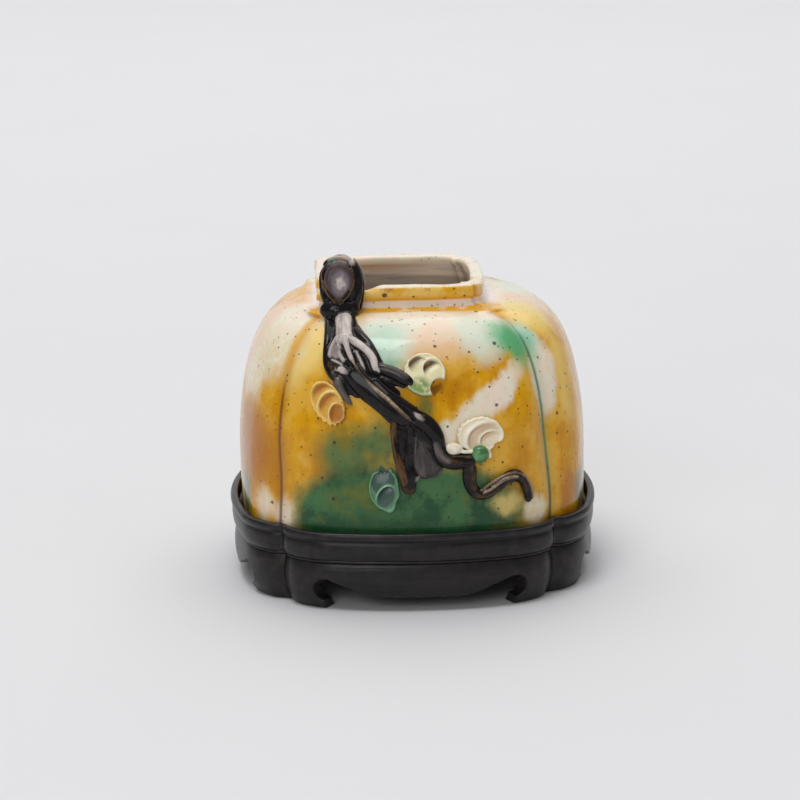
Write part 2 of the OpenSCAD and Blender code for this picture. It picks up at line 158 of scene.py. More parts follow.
TOP_TURN = turn_by_half(NECK_HALF + SHOULDER_FLAT, VESSEL_HALF)
SHOULDER_H = (TOP_Z - BELLY_Z) / math.sin(TOP_TURN) ** (2 / RISE_POWER)
SHIFT_TURN = math.radians(72)


def shift_by_turn(turn, top):
    """How far the neck pulls a level of the shoulder to its side."""
    return NECK_SHIFT * max(0, (turn - SHIFT_TURN) / (top - SHIFT_TURN))


def down_table(steps=160):
    """Lengths down the front panel's middle from the shoulder's edge, with the turn at each."""
    lengths, turns = [0.0], [TOP_TURN]
    last = None
    for i in range(steps + 1):
        turn = TOP_TURN * (1 - i / steps)
        spot = Vector((half_by_turn(turn, VESSEL_HALF), rise_by_turn(turn, SHOULDER_H)))
        if last is not None:
            lengths.append(lengths[-1] + (spot - last).length)
            turns.append(turn)
        last = spot
    return lengths, turns


DOWN_LENGTHS, DOWN_TURNS = down_table()
BELLY_DOWN = DOWN_LENGTHS[-1]


def turn_by_down(down):
    """Turn at a length down the front panel's middle."""
    down = min(max(down, 0), BELLY_DOWN)
    i = min(bisect_right(DOWN_LENGTHS, down), len(DOWN_LENGTHS) - 1)
    low, high = DOWN_LENGTHS[i - 1], DOWN_LENGTHS[i]
    share = (down - low) / (high - low)
    return DOWN_TURNS[i - 1] + share * (DOWN_TURNS[i] - DOWN_TURNS[i - 1])


def on_skin(x, down):
    """Point of the vessel's front, x across and a length down from the shoulder's edge."""
    if down < BELLY_DOWN:
        turn = turn_by_down(down)
        half = half_by_turn(turn, VESSEL_HALF) + min(down, 0)
        z, shift = rise_by_turn(turn, SHOULDER_H), shift_by_turn(turn, TOP_TURN)
    else:
        z, shift = BELLY_Z + BELLY_DOWN - down, 0
        half = VESSEL_HALF - FOOT_IN * ((BELLY_Z - z) / BELLY_H) ** 2
    return Vector((x, -half * BODY.edge((x - shift) / half), z))


def skin_frame(x, down):
    """Directions across and out of the vessel's front at a place on it."""
    across = on_skin(x + PROBE, down) - on_skin(x - PROBE, down)
    up = on_skin(x, down - PROBE) - on_skin(x, down + PROBE)
    return across.normalized(), across.cross(up).normalized()


def on_front(x, down, out):
    """Point that stands out from the vessel's front along its normal."""
    return on_skin(x, down) + out * skin_frame(x, down)[1]


# The branch is drawn from this place on the front: across, and down from the shoulder's edge
STUMP_X = NECK_SHIFT - BODY.groove * NECK_HALF
STUMP_DOWN = 6.15


def smoothstep(low, high, value):
    """Goes smoothly from 0 at low to 1 at high."""
    share = min(max((value - low) / (high - low), 0), 1)
    return share * share * (3 - 2 * share)


def bell(gap, reach):
    """1 where there is no gap, falling off over its reach."""
    return math.exp(-((gap / reach) ** 2))


# Mesh helpers

# A ring of the plan starts at the front left groove, at this share of a turn
FIRST_GROOVE = 3 / 8


def lobed_ring(bm, per_panel):
    """Starts a mesh with one ring of the plan, a unit in half width, closer spaced at the grooves."""
    groove, along, panel = (bm.verts.layers.float.new(name) for name in ("groove", "along", "panel"))
    count = 4 * per_panel
    bmesh.ops.create_circle(bm, segments=count, radius=1)
    for v in bm.verts:
        k = round((math.atan2(v.co.y, v.co.x) / math.tau + FIRST_GROOVE) * count) % count
        side, j = divmod(k, per_panel)
        u = j / per_panel
        share = 2 * (u - CROWDING * math.sin(math.tau * u) / math.tau) - 1
        v.co = Matrix.Rotation(side * math.pi / 2, 3, "Z") @ BODY.at(share)
        v[groove], v[along], v[panel] = (1 - abs(share)) * BODY.run, share, side
    return bm.edges[:]


def drop_layers(bm, *names):
    """Forgets the numbers that only the modelling needed."""
    for name in names:
        bm.verts.layers.float.remove(bm.verts.layers.float[name])


def ring_matrix(half, z, shift=0.0):
    return Matrix.Translation((shift, 0, z)) @ Matrix.Diagonal((half, half, 1, 1))


def extrude_ring(bm, edges, step):
    """Extrudes a ring of edges and moves the new one by a matrix."""
    made = bmesh.ops.extrude_edge_only(bm, edges=edges)["geom"]
    verts = [g for g in made if isinstance(g, bmesh.types.BMVert)]
    bmesh.ops.transform(bm, matrix=step, verts=verts)
    return [g for g in made if isinstance(g, bmesh.types.BMEdge)], verts


def raise_rings(bm, edges, profile, on_ring=None):
    """Carries a unit ring of the plan along a profile of (half, z, shift) and returns its two ends."""
    place = ring_matrix(*profile[0])
    bmesh.ops.transform(bm, matrix=place, verts=bm.verts)
    first, ring = edges, edges
    for row, level in enumerate(profile[1:], 1):
        after = ring_matrix(*level)
        ring, verts = extrude_ring(bm, ring, after @ place.inverted())
        place = after
        if on_ring:
            on_ring(row, verts)
    return first, ring


def finish_piece(name, bm, material, body, nodes, sharp=None):
    """Turns a mesh in millimetres into a piece that rides on a body and stands for its CAD nodes."""
    bmesh.ops.scale(bm, vec=(MM, MM, MM), verts=bm.verts)
    for face in bm.faces:
        face.smooth = True
    if sharp:
        for edge in bm.edges:
            edge.smooth = edge.calc_face_angle(0) < math.radians(sharp)
    mesh = bpy.data.meshes.new(name)
    bm.to_mesh(mesh)
    bm.free()
    mesh.materials.append(material)
    piece = bpy.data.objects.new(name, mesh)
    bpy.context.scene.collection.objects.link(piece)
    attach(piece, body)
    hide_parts(*nodes)
    return piece


def smooth_clay(bm, rounds):
    """Moves every vertex half way to the middle of its neighbours, round by round."""
    for _ in range(rounds):
        bmesh.ops.smooth_vert(bm, verts=bm.verts, factor=0.5, use_axis_x=True, use_axis_y=True, use_axis_z=True)


def write_attribute(piece, name, values):
    """Stores a number for each vertex, for the material to read."""
    layer = piece.data.attributes.new(name, "FLOAT", "POINT")
    layer.data.foreach_set("value", values.astype(np.float32))


# How far a vertex stands proud where its ridge counts as full
RIDGE_REACH = 0.12


def mark_ridges(piece, rounds):
    """Writes how far each vertex stands proud of its smoothed surroundings, from -1 to 1."""
    bm = bmesh.new()
    bm.from_mesh(piece.data)
    bm.normal_update()
    spots = np.array([v.co for v in bm.verts])
    normals = np.array([v.normal for v in bm.verts])
    smooth_clay(bm, rounds)
    drift = ((spots - np.array([v.co for v in bm.verts])) * normals).sum(1) / MM
    bm.free()
    write_attribute(piece, "ridge", np.clip(drift / RIDGE_REACH, -1, 1))


def remeshed(bm, voxel, rounds):
    """Melts overlapping closed forms into one skin, as luted clay is smoothed together."""
    mesh = bpy.data.meshes.new("clay")
    bm.to_mesh(mesh)
    bm.free()
    lump = bpy.data.objects.new("clay", mesh)
    bpy.context.scene.collection.objects.link(lump)
    melt = lump.modifiers.new("melt", "REMESH")
    melt.mode = "VOXEL"
    melt.voxel_size = voxel
    bpy.context.view_layer.update()
    skin = bpy.data.meshes.new_from_object(lump.evaluated_get(bpy.context.evaluated_depsgraph_get()))
    bpy.data.objects.remove(lump)
    bpy.data.meshes.remove(mesh)
    out = bmesh.new()
    out.from_mesh(skin)
    bpy.data.meshes.remove(skin)
    if not out.faces:
        raise RuntimeError("the remeshed clay came out empty")
    smooth_clay(out, rounds)
    return out


def catmull(points, step):
    """Points along a smooth curve through rows of numbers, about a step apart."""
    rows = [Vector(p) for p in points]
    out = []
    for i in range(len(rows) - 1):
        a, b, c, d = rows[max(i - 1, 0)], rows[i], rows[i + 1], rows[min(i + 2, len(rows) - 1)]
        count = max(1, round((c - b).length / step))
        for k in range(count):
            t = k / count
            bend, twist = 2 * a - 5 * b + 4 * c - d, 3 * b - a - 3 * c + d
            out.append(0.5 * (2 * b + (c - a) * t + bend * t**2 + twist * t**3))
    out.append(rows[-1])
    return out


COIL_SIDES = 16
COIL_STEP = 0.4
# Rings that round off each end of a coil, and the smallest share of its width there, squared
NOSE_RINGS = 3
NOSE_LEAST = 0.12


def sweep_coil(bm, path, flat=1.0):
    """Sweeps a clay coil along a path of (point, normal, half width), with rounded ends."""
    count = len(path)
    last = None
    ring = None
    for i, (spot, normal, half) in enumerate(path):
        way = (path[min(i + 1, count - 1)][0] - path[max(i - 1, 0)][0]).normalized()
        side = way.cross(normal).normalized()
        up = side.cross(way)
        run = min(i, count - 1 - i) / NOSE_RINGS
        nose = math.sqrt(max(NOSE_LEAST, 1 - (1 - min(run, 1)) ** 2))
        turn = Matrix((side * half * nose, up * half * flat * nose, way)).transposed()
        place = Matrix.Translation(spot) @ turn.to_4x4()
        if last is None:
            made = bmesh.ops.create_circle(bm, cap_ends=True, segments=COIL_SIDES, radius=1)["verts"]
            bmesh.ops.transform(bm, matrix=place, verts=made)
            around = set(made)
            ring = [e for e in bm.edges if e.verts[0] in around and e.verts[1] in around]
        else:
            ring, _ = extrude_ring(bm, ring, place @ last.inverted())
        last = place
    bmesh.ops.contextual_create(bm, geom=ring)


def laid_path(points, lift, step):
    """Path on the vessel's front through drawn points (across, down, half width)."""
    out = []
    for across, down, half in catmull(points, step):
        x, s = STUMP_X + across, STUMP_DOWN + down
        out.append((on_front(x, s, lift), skin_frame(x, s)[1], half))
    return out


# Shader helpers


class Value:
    """A shader socket that can stand in sums, products and comparisons."""

    def __init__(self, finish, socket):
        self.finish = finish
        self.socket = socket

    def math(self, operation, *others):
        return self.finish.node("ShaderNodeMath", {"operation": operation}, dict(enumerate((self, *others))))

    def __add__(self, other):
        return self.math("ADD", other)

    def __sub__(self, other):
        return self.math("SUBTRACT", other)

    def __rsub__(self, other):
        return self.finish.node("ShaderNodeMath", {"operation": "SUBTRACT"}, {0: other, 1: self})

    def __mul__(self, other):
        return self.math("MULTIPLY", other)

    __radd__ = __add__
    __rmul__ = __mul__

    def __abs__(self):
        return self.math("ABSOLUTE")

    def over(self, other):
        """The larger of two values."""
        return self.math("MAXIMUM", other)

    def between(self, low, high):
        """Goes smoothly from 0 at low to 1 at high."""
        return self.finish.node(
            "ShaderNodeMapRange",
            {"interpolation_type": "SMOOTHSTEP"},
            {"Value": self, "From Min": low, "From Max": high},
        )


class Finish:
    """A procedural material under construction."""

    def __init__(self, name):
        self.material = bpy.data.materials.new(name)
        self.material.use_nodes = True
        self.tree = self.material.node_tree
        self.tree.nodes.clear()
        place = self.node("ShaderNodeTexCoord", out="Object")
        self.place = self.vector("SCALE", place, Scale=1 / MM)

    def node(self, kind, settings=None, inputs=None, out=0):
        made = self.tree.nodes.new(kind)
        for key, value in (settings or {}).items():
            setattr(made, key, value)
        for key, value in (inputs or {}).items():
            if isinstance(value, Value):
                self.tree.links.new(value.socket, made.inputs[key])
            else:
                made.inputs[key].default_value = value
        return Value(self, made.outputs[out]) if made.outputs else made

    def vector(self, operation, first, second=None, out=0, **more):
        inputs = {0: first, **more}
        if second is not None:
            inputs[1] = second
        return self.node("ShaderNodeVectorMath", {"operation": operation}, inputs, out)

    def part(self, vector, axis):
        return self.node("ShaderNodeSeparateXYZ", inputs={0: vector}, out=axis)

    def stretched(self, factors):
        return self.vector("MULTIPLY", self.place, factors)

    def moved(self, step):
        return self.vector("ADD", self.place, step)

    def noise(self, size, detail=2.0, rough=0.5, vector=None, out=0):
        """Noise whose largest clouds are about a size in millimetres across."""
        inputs = {"Vector": vector or self.place, "Scale": 1 / size, "Detail": detail, "Roughness": rough}
        return self.node("ShaderNodeTexNoise", inputs=inputs, out=out)

    def cells(self, size, out="Distance"):
        """Distance to the middle of the nearest cell, as a share of the cells' size, or the cell's own colour."""
        return self.node("ShaderNodeTexVoronoi", inputs={"Vector": self.place, "Scale": 1 / size}, out=out)

    def chance(self, size, keep, fade, part=0):
        """1 in the cells whose own number is above a share, else 0."""
        return self.part(self.cells(size, "Color"), part).between(keep, keep + fade)

    def attribute(self, name):
        return self.node("ShaderNodeAttribute", {"attribute_name": name}, out="Fac")

    def mix(self, share, first, second, blend="MIX"):
        return self.node(
            "ShaderNodeMix",
            {"data_type": "RGBA", "blend_type": blend},
            {0: share, 6: rgba(first), 7: rgba(second)},
            2,
        )

    def layered(self, colour, *layers):
        """Lays rows of (share, colour) over a colour, one after the other."""
        for share, ink in layers:
            colour = self.mix(share, colour, ink)
        return colour

    def warped(self, amounts):
        """The place shaken by noises of several sizes, each (size, amount) in millimetres."""
        spot = self.place
        for size, amount in amounts:
            shake = self.noise(size, 2.0, 0.55, out="Color")
            shake = self.vector("SUBTRACT", shake, (0.5, 0.5, 0.5))
            spot = self.vector("ADD", spot, self.vector("SCALE", shake, Scale=amount))
        return spot

    def blot(self, spot, centre, turn, radii, soft):
        """Mask of an ellipsoid round a centre, 1 inside, with a soft edge."""
        local = self.node(
            "ShaderNodeMapping",
            {"vector_type": "TEXTURE"},
            {"Vector": spot, "Location": centre, "Rotation": turn, "Scale": radii},
        )
        return self.vector("LENGTH", local, out="Value").between(1 + soft, 1 - soft)

    def surface(self, inputs, height=None, depth=0.2, strength=1.0):
        """Ends the material in one Principled shader, with a bump of a depth in millimetres."""
        if height is not None:
            bump = {"Strength": strength, "Distance": depth * MM, "Height": height}
            inputs = {**inputs, "Normal": self.node("ShaderNodeBump", inputs=bump, out="Normal")}
        shader = self.node("ShaderNodeBsdfPrincipled", inputs=inputs)
        self.node("ShaderNodeOutputMaterial", inputs={"Surface": shader})
        return self.material


def rgba(colour):
    if isinstance(colour, Value):
        return colour
    return (*tuple(colour)[:3], 1.0)


def srgb(*swatch):
    """Linear colour of a swatch given in bytes, 0 to 255."""
    parts = [byte / 255 for byte in swatch]
    return tuple(c / 12.92 if c <= 0.04045 else ((c + 0.055) / 1.055) ** 2.4 for c in parts)


def colour_property(name, description, swatch):
    return FloatVectorProperty(
        name=name, description=description, subtype="COLOR", size=3, min=0, max=1, default=srgb(*swatch)
    )


def length_property(name, description, millimetres, low, high):
    return FloatProperty(
        name=name,
        description=description,
        default=millimetres * MM,
        min=low * MM,
        max=high * MM,
        subtype="DISTANCE",
        unit="LENGTH",
        precision=5,
    )


class CoupeSizes(bpy.types.PropertyGroup):
    waviness: length_property("Waviness", "How far the potter's hand leaves the wall uneven", 0.16, 0, 0.5)
    rim_dip: length_property("Rim dip", "Depth of the worn dip in the rim beside the stump", 1.3, 0, 2)
    groove_lean: length_property("Groove lean", "How far the corner grooves lean aside higher up", 1.2, 0, 2)
    stand_notch: length_property("Stand notch", "Depth of the stand's corner grooves", 0.9, 0, 2)
    neck_lean: length_property("Neck lean", "How far the lip leans in on its right side", 1.1, 0, 2)
    neck_notch: length_property("Neck notch", "Depth of the notch at the neck's corners", 0.8, 0, 1.5)
    clay_grain: length_property("Clay grain", "Finest detail kept where coils are luted together", 0.2, 0.15, 0.5)
    sprig_edge: length_property("Sprig edge", "Thickness of the sprigs at their edge", 1.1, 0.5, 2)
    apron_thickness: length_property("Apron thickness", "Thickness of the stand's aprons", 3.2, 2.4, 4)
    edge_wear: length_property("Edge wear", "Rounding of the apron's worn edges", 0.35, 0.1, 0.6)


class GlazeColours(bpy.types.PropertyGroup):
    amber: colour_property("Amber", "Iron glaze that covers most of the vessel", (224, 164, 6))
    deep_amber: colour_property("Deep amber", "Amber where it lies thick", (184, 113, 2))
    honey: colour_property("Honey", "Amber where it thins out", (244, 214, 128))
    green: colour_property("Green", "Copper glaze at the foot", (66, 112, 66))
    deep_green: colour_property("Deep green", "Copper glaze where it pools", (28, 76, 44))
    bright_green: colour_property("Bright green", "Copper glaze where it runs into a groove", (84, 172, 116))
    olive: colour_property("Olive", "Where amber and green run together", (116, 106, 14))
    cream: colour_property("Cream", "Clear glaze over the body", (236, 220, 178))
    white: colour_property("White", "Thick clear glaze", (244, 234, 216))
    pale_green: colour_property("Pale green", "Clear glaze tinged with copper", (222, 230, 212))
    turquoise: colour_property("Turquoise", "Thin copper glaze on the shoulder", (172, 219, 198))
    peach: colour_property("Peach", "Warm blush in the clear glaze", (240, 208, 176))
    speck: colour_property("Specks", "Iron specks in the glaze", (58, 32, 14))
    buff: colour_property("Bare clay", "Unglazed clay inside the vessel", (226, 206, 186))
    bark: colour_property("Bark", "Aubergine glaze of the branch", (20, 17, 19))
    lilac: colour_property("Lilac", "Aubergine glaze where it is thin", (214, 202, 194))
    tan: colour_property("Tan", "Ridges of the branch where the clay shows", (168, 140, 112))
    rust: colour_property("Rust", "Brown edges of the branch", (110, 78, 44))


class StandColours(bpy.types.PropertyGroup):
    wood: colour_property("Wood", "Dark wood of the stand", (28, 26, 27))
    grain: colour_property("Grain", "Darker lines in the wood", (20, 18, 19))
    worn: colour_property("Worn edges", "Reddish wood where the finish is worn", (58, 48, 46))
    floor: colour_property("Floor", "Studio floor and backdrop", (228, 228, 230))


# The vessel

# Splashes of glaze, some of which are partly painted highlights and one partly a painted shadow, as marked: panel (0
# front,
# 1 right, 2 back, 3 left), across, down, half width, half height, turn in degrees, colour, share and softness of the
# edge; lengths in millimetres on the panel
SPLASHES = (
    (0, -21.2, 40.3, 3.9, 5.4, 0, "deep_amber", 0.5, 0.7),
    # These two white splashes are partly white glaze and partly a painted reflection of the lamps on the front
    # shoulder
    (0, 0.7, 5.3, 12.4, 6.8, 0, "white", 1.0, 0.4),
    (0, -6.4, 11.2, 6.2, 10.4, 0, "white", 1.0, 0.4),
    (0, -7.2, 12.6, 5.4, 6.0, 0, "turquoise", 0.75, 0.8),
    (0, -6.8, 17.6, 4.8, 1.6, 0, "bright_green", 0.6, 0.8),
    (0, -22.0, 13.5, 4.6, 9.0, -15, "honey", 0.95, 0.45),
    (0, -27.5, 17.0, 2.6, 12.0, -14, "amber", 0.85, 0.5),
    # Partly pooled glaze and partly painted shadow under the upper sprig's bite
    (0, 4.3, 22.9, 1.5, 1.1, 0, "speck", 0.9, 0.5),
    (0, 4.3, 12.0, 5.5, 5.5, 0, "peach", 0.65, 0.5),
    (0, 14.3, 10.8, 6.2, 6.6, 0, "pale_green", 0.95, 0.4),
    (0, 7.4, 22.7, 5.1, 3.1, 15, "deep_amber", 0.5, 0.7),
    (0, 15.5, 26.0, 12.0, 2.5, 38, "white", 0.95, 0.45),
    (0, 7.2, 33.4, 2.8, 2.9, 0, "white", 0.9, 0.5),
    (0, 1.4, 27.1, 1.8, 2.6, 0, "olive", 0.7, 0.7),
    (0, 22.0, 38.3, 2.5, 6.7, 0, "deep_amber", 0.4, 0.7),
    (0, -15.8, 37.8, 6.4, 6.0, 0, "olive", 0.9, 0.6),
    (0, -9.1, 34.6, 4.1, 4.9, 0, "green", 0.85, 0.6),
    (0, -4.6, 50.6, 30.5, 10.8, 0, "green", 1.0, 0.22),
    (0, 18.0, 52.0, 8.0, 6.0, 0, "green", 0.65, 0.6),
    (0, -14.5, 48.5, 5.5, 4.5, 0, "olive", 0.6, 0.6),
    (0, -4.5, 56.0, 28.0, 3.6, 0, "deep_green", 0.8, 0.5),
    (0, -29.2, 52.5, 2.4, 3.8, -15, "white", 0.85, 0.6),
    (0, 19.0, 49.5, 3.2, 2.5, 0, "honey", 0.7, 0.6),
    (0, 25.7, 52.0, 3.5, 3.1, 12, "cream", 0.95, 0.4),
    (3, 16.0, 17.0, 14.0, 13.0, 0, "cream", 1.0, 0.25),
    (3, 3.0, 14.0, 6.5, 10.0, 0, "peach", 0.9, 0.5),
    # Partly white glaze and partly a painted reflection of the lamps on the left shoulder
    (3, 15.0, 7.0, 8.0, 7.0, 0, "white", 0.9, 0.5),
    (3, 16.0, 39.5, 14.0, 9.8, 0, "amber", 1.0, 0.25),
    (3, 26.5, 31.0, 6.0, 9.5, 0, "amber", 1.0, 0.4),
    (3, 18.0, 40.0, 14.0, 10.5, 0, "deep_amber", 0.95, 0.5),
    (3, 25.5, 51.8, 3.2, 3.6, 0, "white", 0.8, 0.7),
    (3, 15.5, 51.0, 4.2, 5.4, 0, "green", 0.9, 0.5),
    (3, -12.0, 28.0, 9.0, 13.0, 20, "green", 0.85, 0.5),
    (3, -18.0, 20.0, 9.0, 9.0, 0, "amber", 0.9, 0.5),
    (1, 6.0, 4.0, 8.0, 5.5, 0, "pale_green", 0.95, 0.4),
    (1, -6.0, 5.5, 6.0, 6.0, 0, "peach", 0.95, 0.5),
    (1, -15.5, 7.5, 6.5, 6.5, 0, "honey", 0.95, 0.4),
    # Painted highlight along the ridge of the right groove, over pale glaze
    (1, -22.5, 5.0, 2.6, 5.0, 0, "white", 0.85, 0.5),
    (1, -22.0, 24.0, 3.0, 11.0, 0, "honey", 0.8, 0.5),
    (1, -26.8, 23.0, 3.4, 8.5, 0, "white", 0.95, 0.35),
    (1, -11.5, 28.0, 10.0, 18.0, 0, "amber", 1.0, 0.3),
    (1, -23.0, 42.0, 4.5, 9.0, 0, "amber", 0.9, 0.5),
    (1, -25.5, 50.0, 3.6, 5.0, 0, "deep_amber", 0.85, 0.5),
    (1, -18.5, 51.0, 4.4, 4.8, 0, "deep_green", 0.9, 0.5),
    (1, 2.0, 40.0, 11.0, 12.0, 10, "green", 0.85, 0.5),
    (1, 10.0, 16.0, 9.0, 9.0, 0, "cream", 0.9, 0.5),
    (2, -12.0, 30.0, 11.0, 12.0, 0, "amber", 1.0, 0.5),
    (2, 10.0, 42.0, 13.0, 9.0, 0, "green", 0.9, 0.5),
    (2, 8.0, 14.0, 10.0, 8.0, 15, "cream", 0.95, 0.5),
)
SPLASH_DEPTH = 9.0
# Splashes that end at a corner groove reach less deep, so they stay on their own side of it
GROOVE_SPLASHES = (
    (1, -24.4, 12.6, 3.4, 4.4, 0, "turquoise", 0.9, 0.5),
    (0, 21.4, 14.0, 4.3, 6.2, 28, "bright_green", 0.95, 0.6),
)
GROOVE_DEPTH = 4.5
# The splashes are shaken by noises (size, amount) and drawn down in drips
SPLASH_SHAKE = ((13.0, 5.0), (4.0, 2.6), (1.1, 0.9))
DRIP = 4.5
UPRIGHT = (0, 0, 0)
# The front shows only the splashes that are drawn on it: centre and half sizes of that field
FRONT_FIELD = ((0, -38, 38), UPRIGHT, (33, 15, 40))
# Where changes of the glaze start and end, as distances from a corner groove and as heights
GROOVE_LINE, GROOVE_SIDE = (0.8, 0.1), (3.0, 0.5)
BAND_Z, POOL_LOW_Z, POOL_HIGH_Z = (63.2, 63.7), (62.6, 63.3), (64.3, 63.8)
LIP_Z, LIP_FADE_Z, WORN_Z = (65.2, 65.9), (65.7, 67.2), (68.25, 68.7)
# How far from the neck the pooled line at its foot starts and ends
POOL_OUT = (NECK_HALF + 2.4, NECK_HALF + 1.2)
# The brown pit in the lip
PIT = ((-6.4, -19.6, 66.9), UPRIGHT, (0.6, 1.5, 0.5))
# Iron specks: size of their cells, radius, and share of the cells that have none
SPECKS = ((2.3, 0.37, 0.48), (4.6, 0.58, 0.62), (1.4, 0.23, 0.52))


def splash_frame(panel, across, down, turn):
    """Centre and turn of a splash laid on a panel."""
    side, normal = skin_frame(across, down)
    up = normal.cross(side).normalized()
    local = Matrix((side, up, normal)).transposed() @ Matrix.Rotation(math.radians(turn), 3, "Z")
    swing = Matrix.Rotation(panel * math.pi / 2, 3, "Z")
    return swing @ on_skin(across, down), (swing @ local).to_euler()


def lay_splashes(f, colour, shades, spot):
    """Lays every drawn splash over a colour."""
    for rows, depth in ((SPLASHES, SPLASH_DEPTH), (GROOVE_SPLASHES, GROOVE_DEPTH)):
        for panel, across, down, wide, tall, turn, shade, share, soft in rows:
            centre, euler = splash_frame(panel, across, down, turn)
            mask = f.blot(spot, centre, euler, (wide, tall, depth), soft)
            colour = f.mix(mask * share, colour, shades[shade])
    return colour


def lay_grooves(f, colour, colours, x, z):
    """Glaze gathers in the corner grooves, green on one side and brown on the other."""
    groove = f.attribute("groove") * VESSEL_HALF
    line, beside = groove.between(*GROOVE_LINE), groove.between(*GROOVE_SIDE)
    right = x.between(-2.0, 2.0)
    left = 1 - right
    pooled = f.mix(right, srgb(124, 66, 14), srgb(60, 122, 84))
    deep = f.mix(z.between(34.0, 22.0) * (0.2 + 0.4 * right), pooled, colours.speck)
    reach = right * z.between(63.0, 55.0) + left * z.between(53.0, 45.0)
    return f.layered(
        colour,
        (beside * z.between(42.0, 54.0) * left * 0.8, colours.amber),
        (beside * z.between(60.0, 48.0) * 0.2, pooled),
        (line * reach * 0.85, deep),
    )


def lay_neck(f, colour, colours, clouds, grit, axes):
    """The lip is amber with brown clouds and a worn edge, over a pale band whose pinkish white is partly a painted
    reflection, and a pooled line at its foot.
    """
    x, y, z = axes
    x = x - NECK_SHIFT
    side = x.between(15.0, 18.5).over(y.between(-8.0, 4.0))
    lip = f.layered(
        colours.amber,
        (z.between(*LIP_FADE_Z) * clouds.between(0.36, 0.52) * 0.6, colours.honey),
        (f.noise(3.0, 3.0, 0.6).between(0.52, 0.72) * 0.8, colours.deep_amber),
        (side * 0.75, colours.white),
    )
    # The band's pinkish white is partly a painted reflection, lighter than the glaze against the lip's shade
    band = f.mix(f.noise(6.0, 1.0).between(0.3, 0.6), colours.white, srgb(255, 240, 234))
    foot = z.between(*POOL_LOW_Z) * z.between(*POOL_HIGH_Z) * abs(x).over(abs(y)).between(*POOL_OUT)
    foot = foot * f.noise(5.0, 2.0).between(0.26, 0.46) * y.between(-10.0, -18.0)
    return f.layered(
        colour,
        (z.between(*BAND_Z), band),
        (foot, colours.amber),
        (z.between(*LIP_Z), lip),
        (f.blot(f.place, *PIT, 0.35) * 0.9, colours.speck),
        ((z + grit * 0.9).between(*WORN_Z) * 0.9, colours.white),
    )


def lay_film(f, colour):
    """A faint pink and green film over the pale glaze."""
    film = f.noise(3.2, 2.0, 0.5, f.moved((5.0, 9.0, 70.0)))
    pale = f.node("ShaderNodeRGBToBW", inputs={0: colour}).between(0.5, 0.75)
    tint = f.mix(film.between(0.42, 0.58), srgb(250, 226, 226), srgb(236, 244, 238))
    return f.mix(pale * 0.3, colour, tint, "MULTIPLY")


def lay_specks(f, colour, ink, grit):
    """Iron specks with ragged edges."""
    for size, radius, none in SPECKS:
        ragged = f.cells(size) * size + grit * radius
        mask = ragged.between(radius, radius * 0.4) * f.chance(size, none, 0.02)
        colour = f.mix(mask * 0.85, colour, ink)
    return colour


def splashed_glaze(colours):
    """Amber, green and clear lead glazes run together over the body, bare inside."""
    f = Finish("running_glaze")
    x, y, z = axes = [f.part(f.place, axis) for axis in range(3)]
    streaks = f.noise(2.6, 3.0, 0.6, f.stretched((1, 1, 0.13)))
    clouds = f.noise(7.0, 3.0, 0.55)
    mottle = f.noise(1.3, 3.0, 0.65)
    grit = mottle - 0.5
    drip = f.node("ShaderNodeCombineXYZ", inputs={2: (streaks - 0.5) * DRIP})
    spot = f.vector("ADD", f.warped(SPLASH_SHAKE), drip)

    thick = (streaks * 0.6 + clouds * 0.4 + grit * 0.25).between(0.42, 0.68)
    thin = (clouds + grit * 0.3).between(0.55, 0.36)
    amber = f.layered(colours.amber, (thick * 0.55, colours.deep_amber), (thin * 0.2, colours.honey))
    green = f.mix((clouds + grit * 0.4).between(0.36, 0.66), colours.green, colours.deep_green)
    wide = f.noise(24.0, 2.0, 0.5, f.moved((31.0, 7.0, 3.0)))
    other = f.noise(19.0, 2.0, 0.5, f.moved((-12.0, 44.0, 19.0)))
    colour = f.layered(
        amber,
        (wide.between(0.50, 0.60), colours.cream),
        (other.between(0.54, 0.63) * y.between(0.0, 14.0), colours.green),
        (f.blot(f.place, *FRONT_FIELD, 0.12), amber),
    )
    shades = {name: getattr(colours, name) for name in GlazeColours.__annotations__}
    shades["amber"] = amber
    shades["green"] = f.mix(f.noise(4.5, 3.0, 0.6).between(0.54, 0.70) * 0.5, green, colours.olive)
    shades["olive"] = f.mix(clouds.between(0.4, 0.6), colours.olive, colours.green)
    shades["cream"] = f.mix(mottle.between(0.4, 0.7), colours.cream, colours.white)
    shades["white"] = f.mix(mottle.between(0.45, 0.75) * 0.6, colours.white, colours.cream)
    colour = lay_splashes(f, colour, shades, spot)
    colour = lay_grooves(f, colour, colours, x, z)
    colour = lay_neck(f, colour, colours, clouds, grit, axes)
    colour = lay_specks(f, lay_film(f, colour), colours.speck, grit)

    # Inside, the clay is bare and shows the marks of the sponge, and is painted darker lower down as shade inside
    # the mouth
    bare = f.attribute("bare")
    marks = f.noise(1.2, 3.0, 0.6, f.stretched((0.08, 0.08, 1.0)))
    clay = f.layered(
        colours.buff,
        (marks.between(0.35, 0.7), srgb(198, 180, 164)),
        (clouds.between(0.45, 0.7) * 0.4, colours.peach),
        (z.between(64.6, 66.6) * x.between(10.0, -10.0) * 0.6, srgb(196, 140, 84)),
        # Painted shade: the inside is darker below this height
        ((z + x * 0.03).between(64.9, 64.0) * 0.5, srgb(92, 82, 70)),
    )
    peel = f.noise(1.9, 2.0, 0.5) * 0.5 + f.noise(9.0, 2.0, 0.5) + marks * bare * 0.7
    look = {
        "Base Color": f.mix(bare, colour, clay),
        "Roughness": 0.2 + bare * 0.5 + grit * 0.1,
        "Coat Weight": (1 - bare) * 0.22,
        "Coat Roughness": 0.05,
        "Specular IOR Level": 0.2,
    }
    return f.surface(look, peel, depth=0.25, strength=0.3)


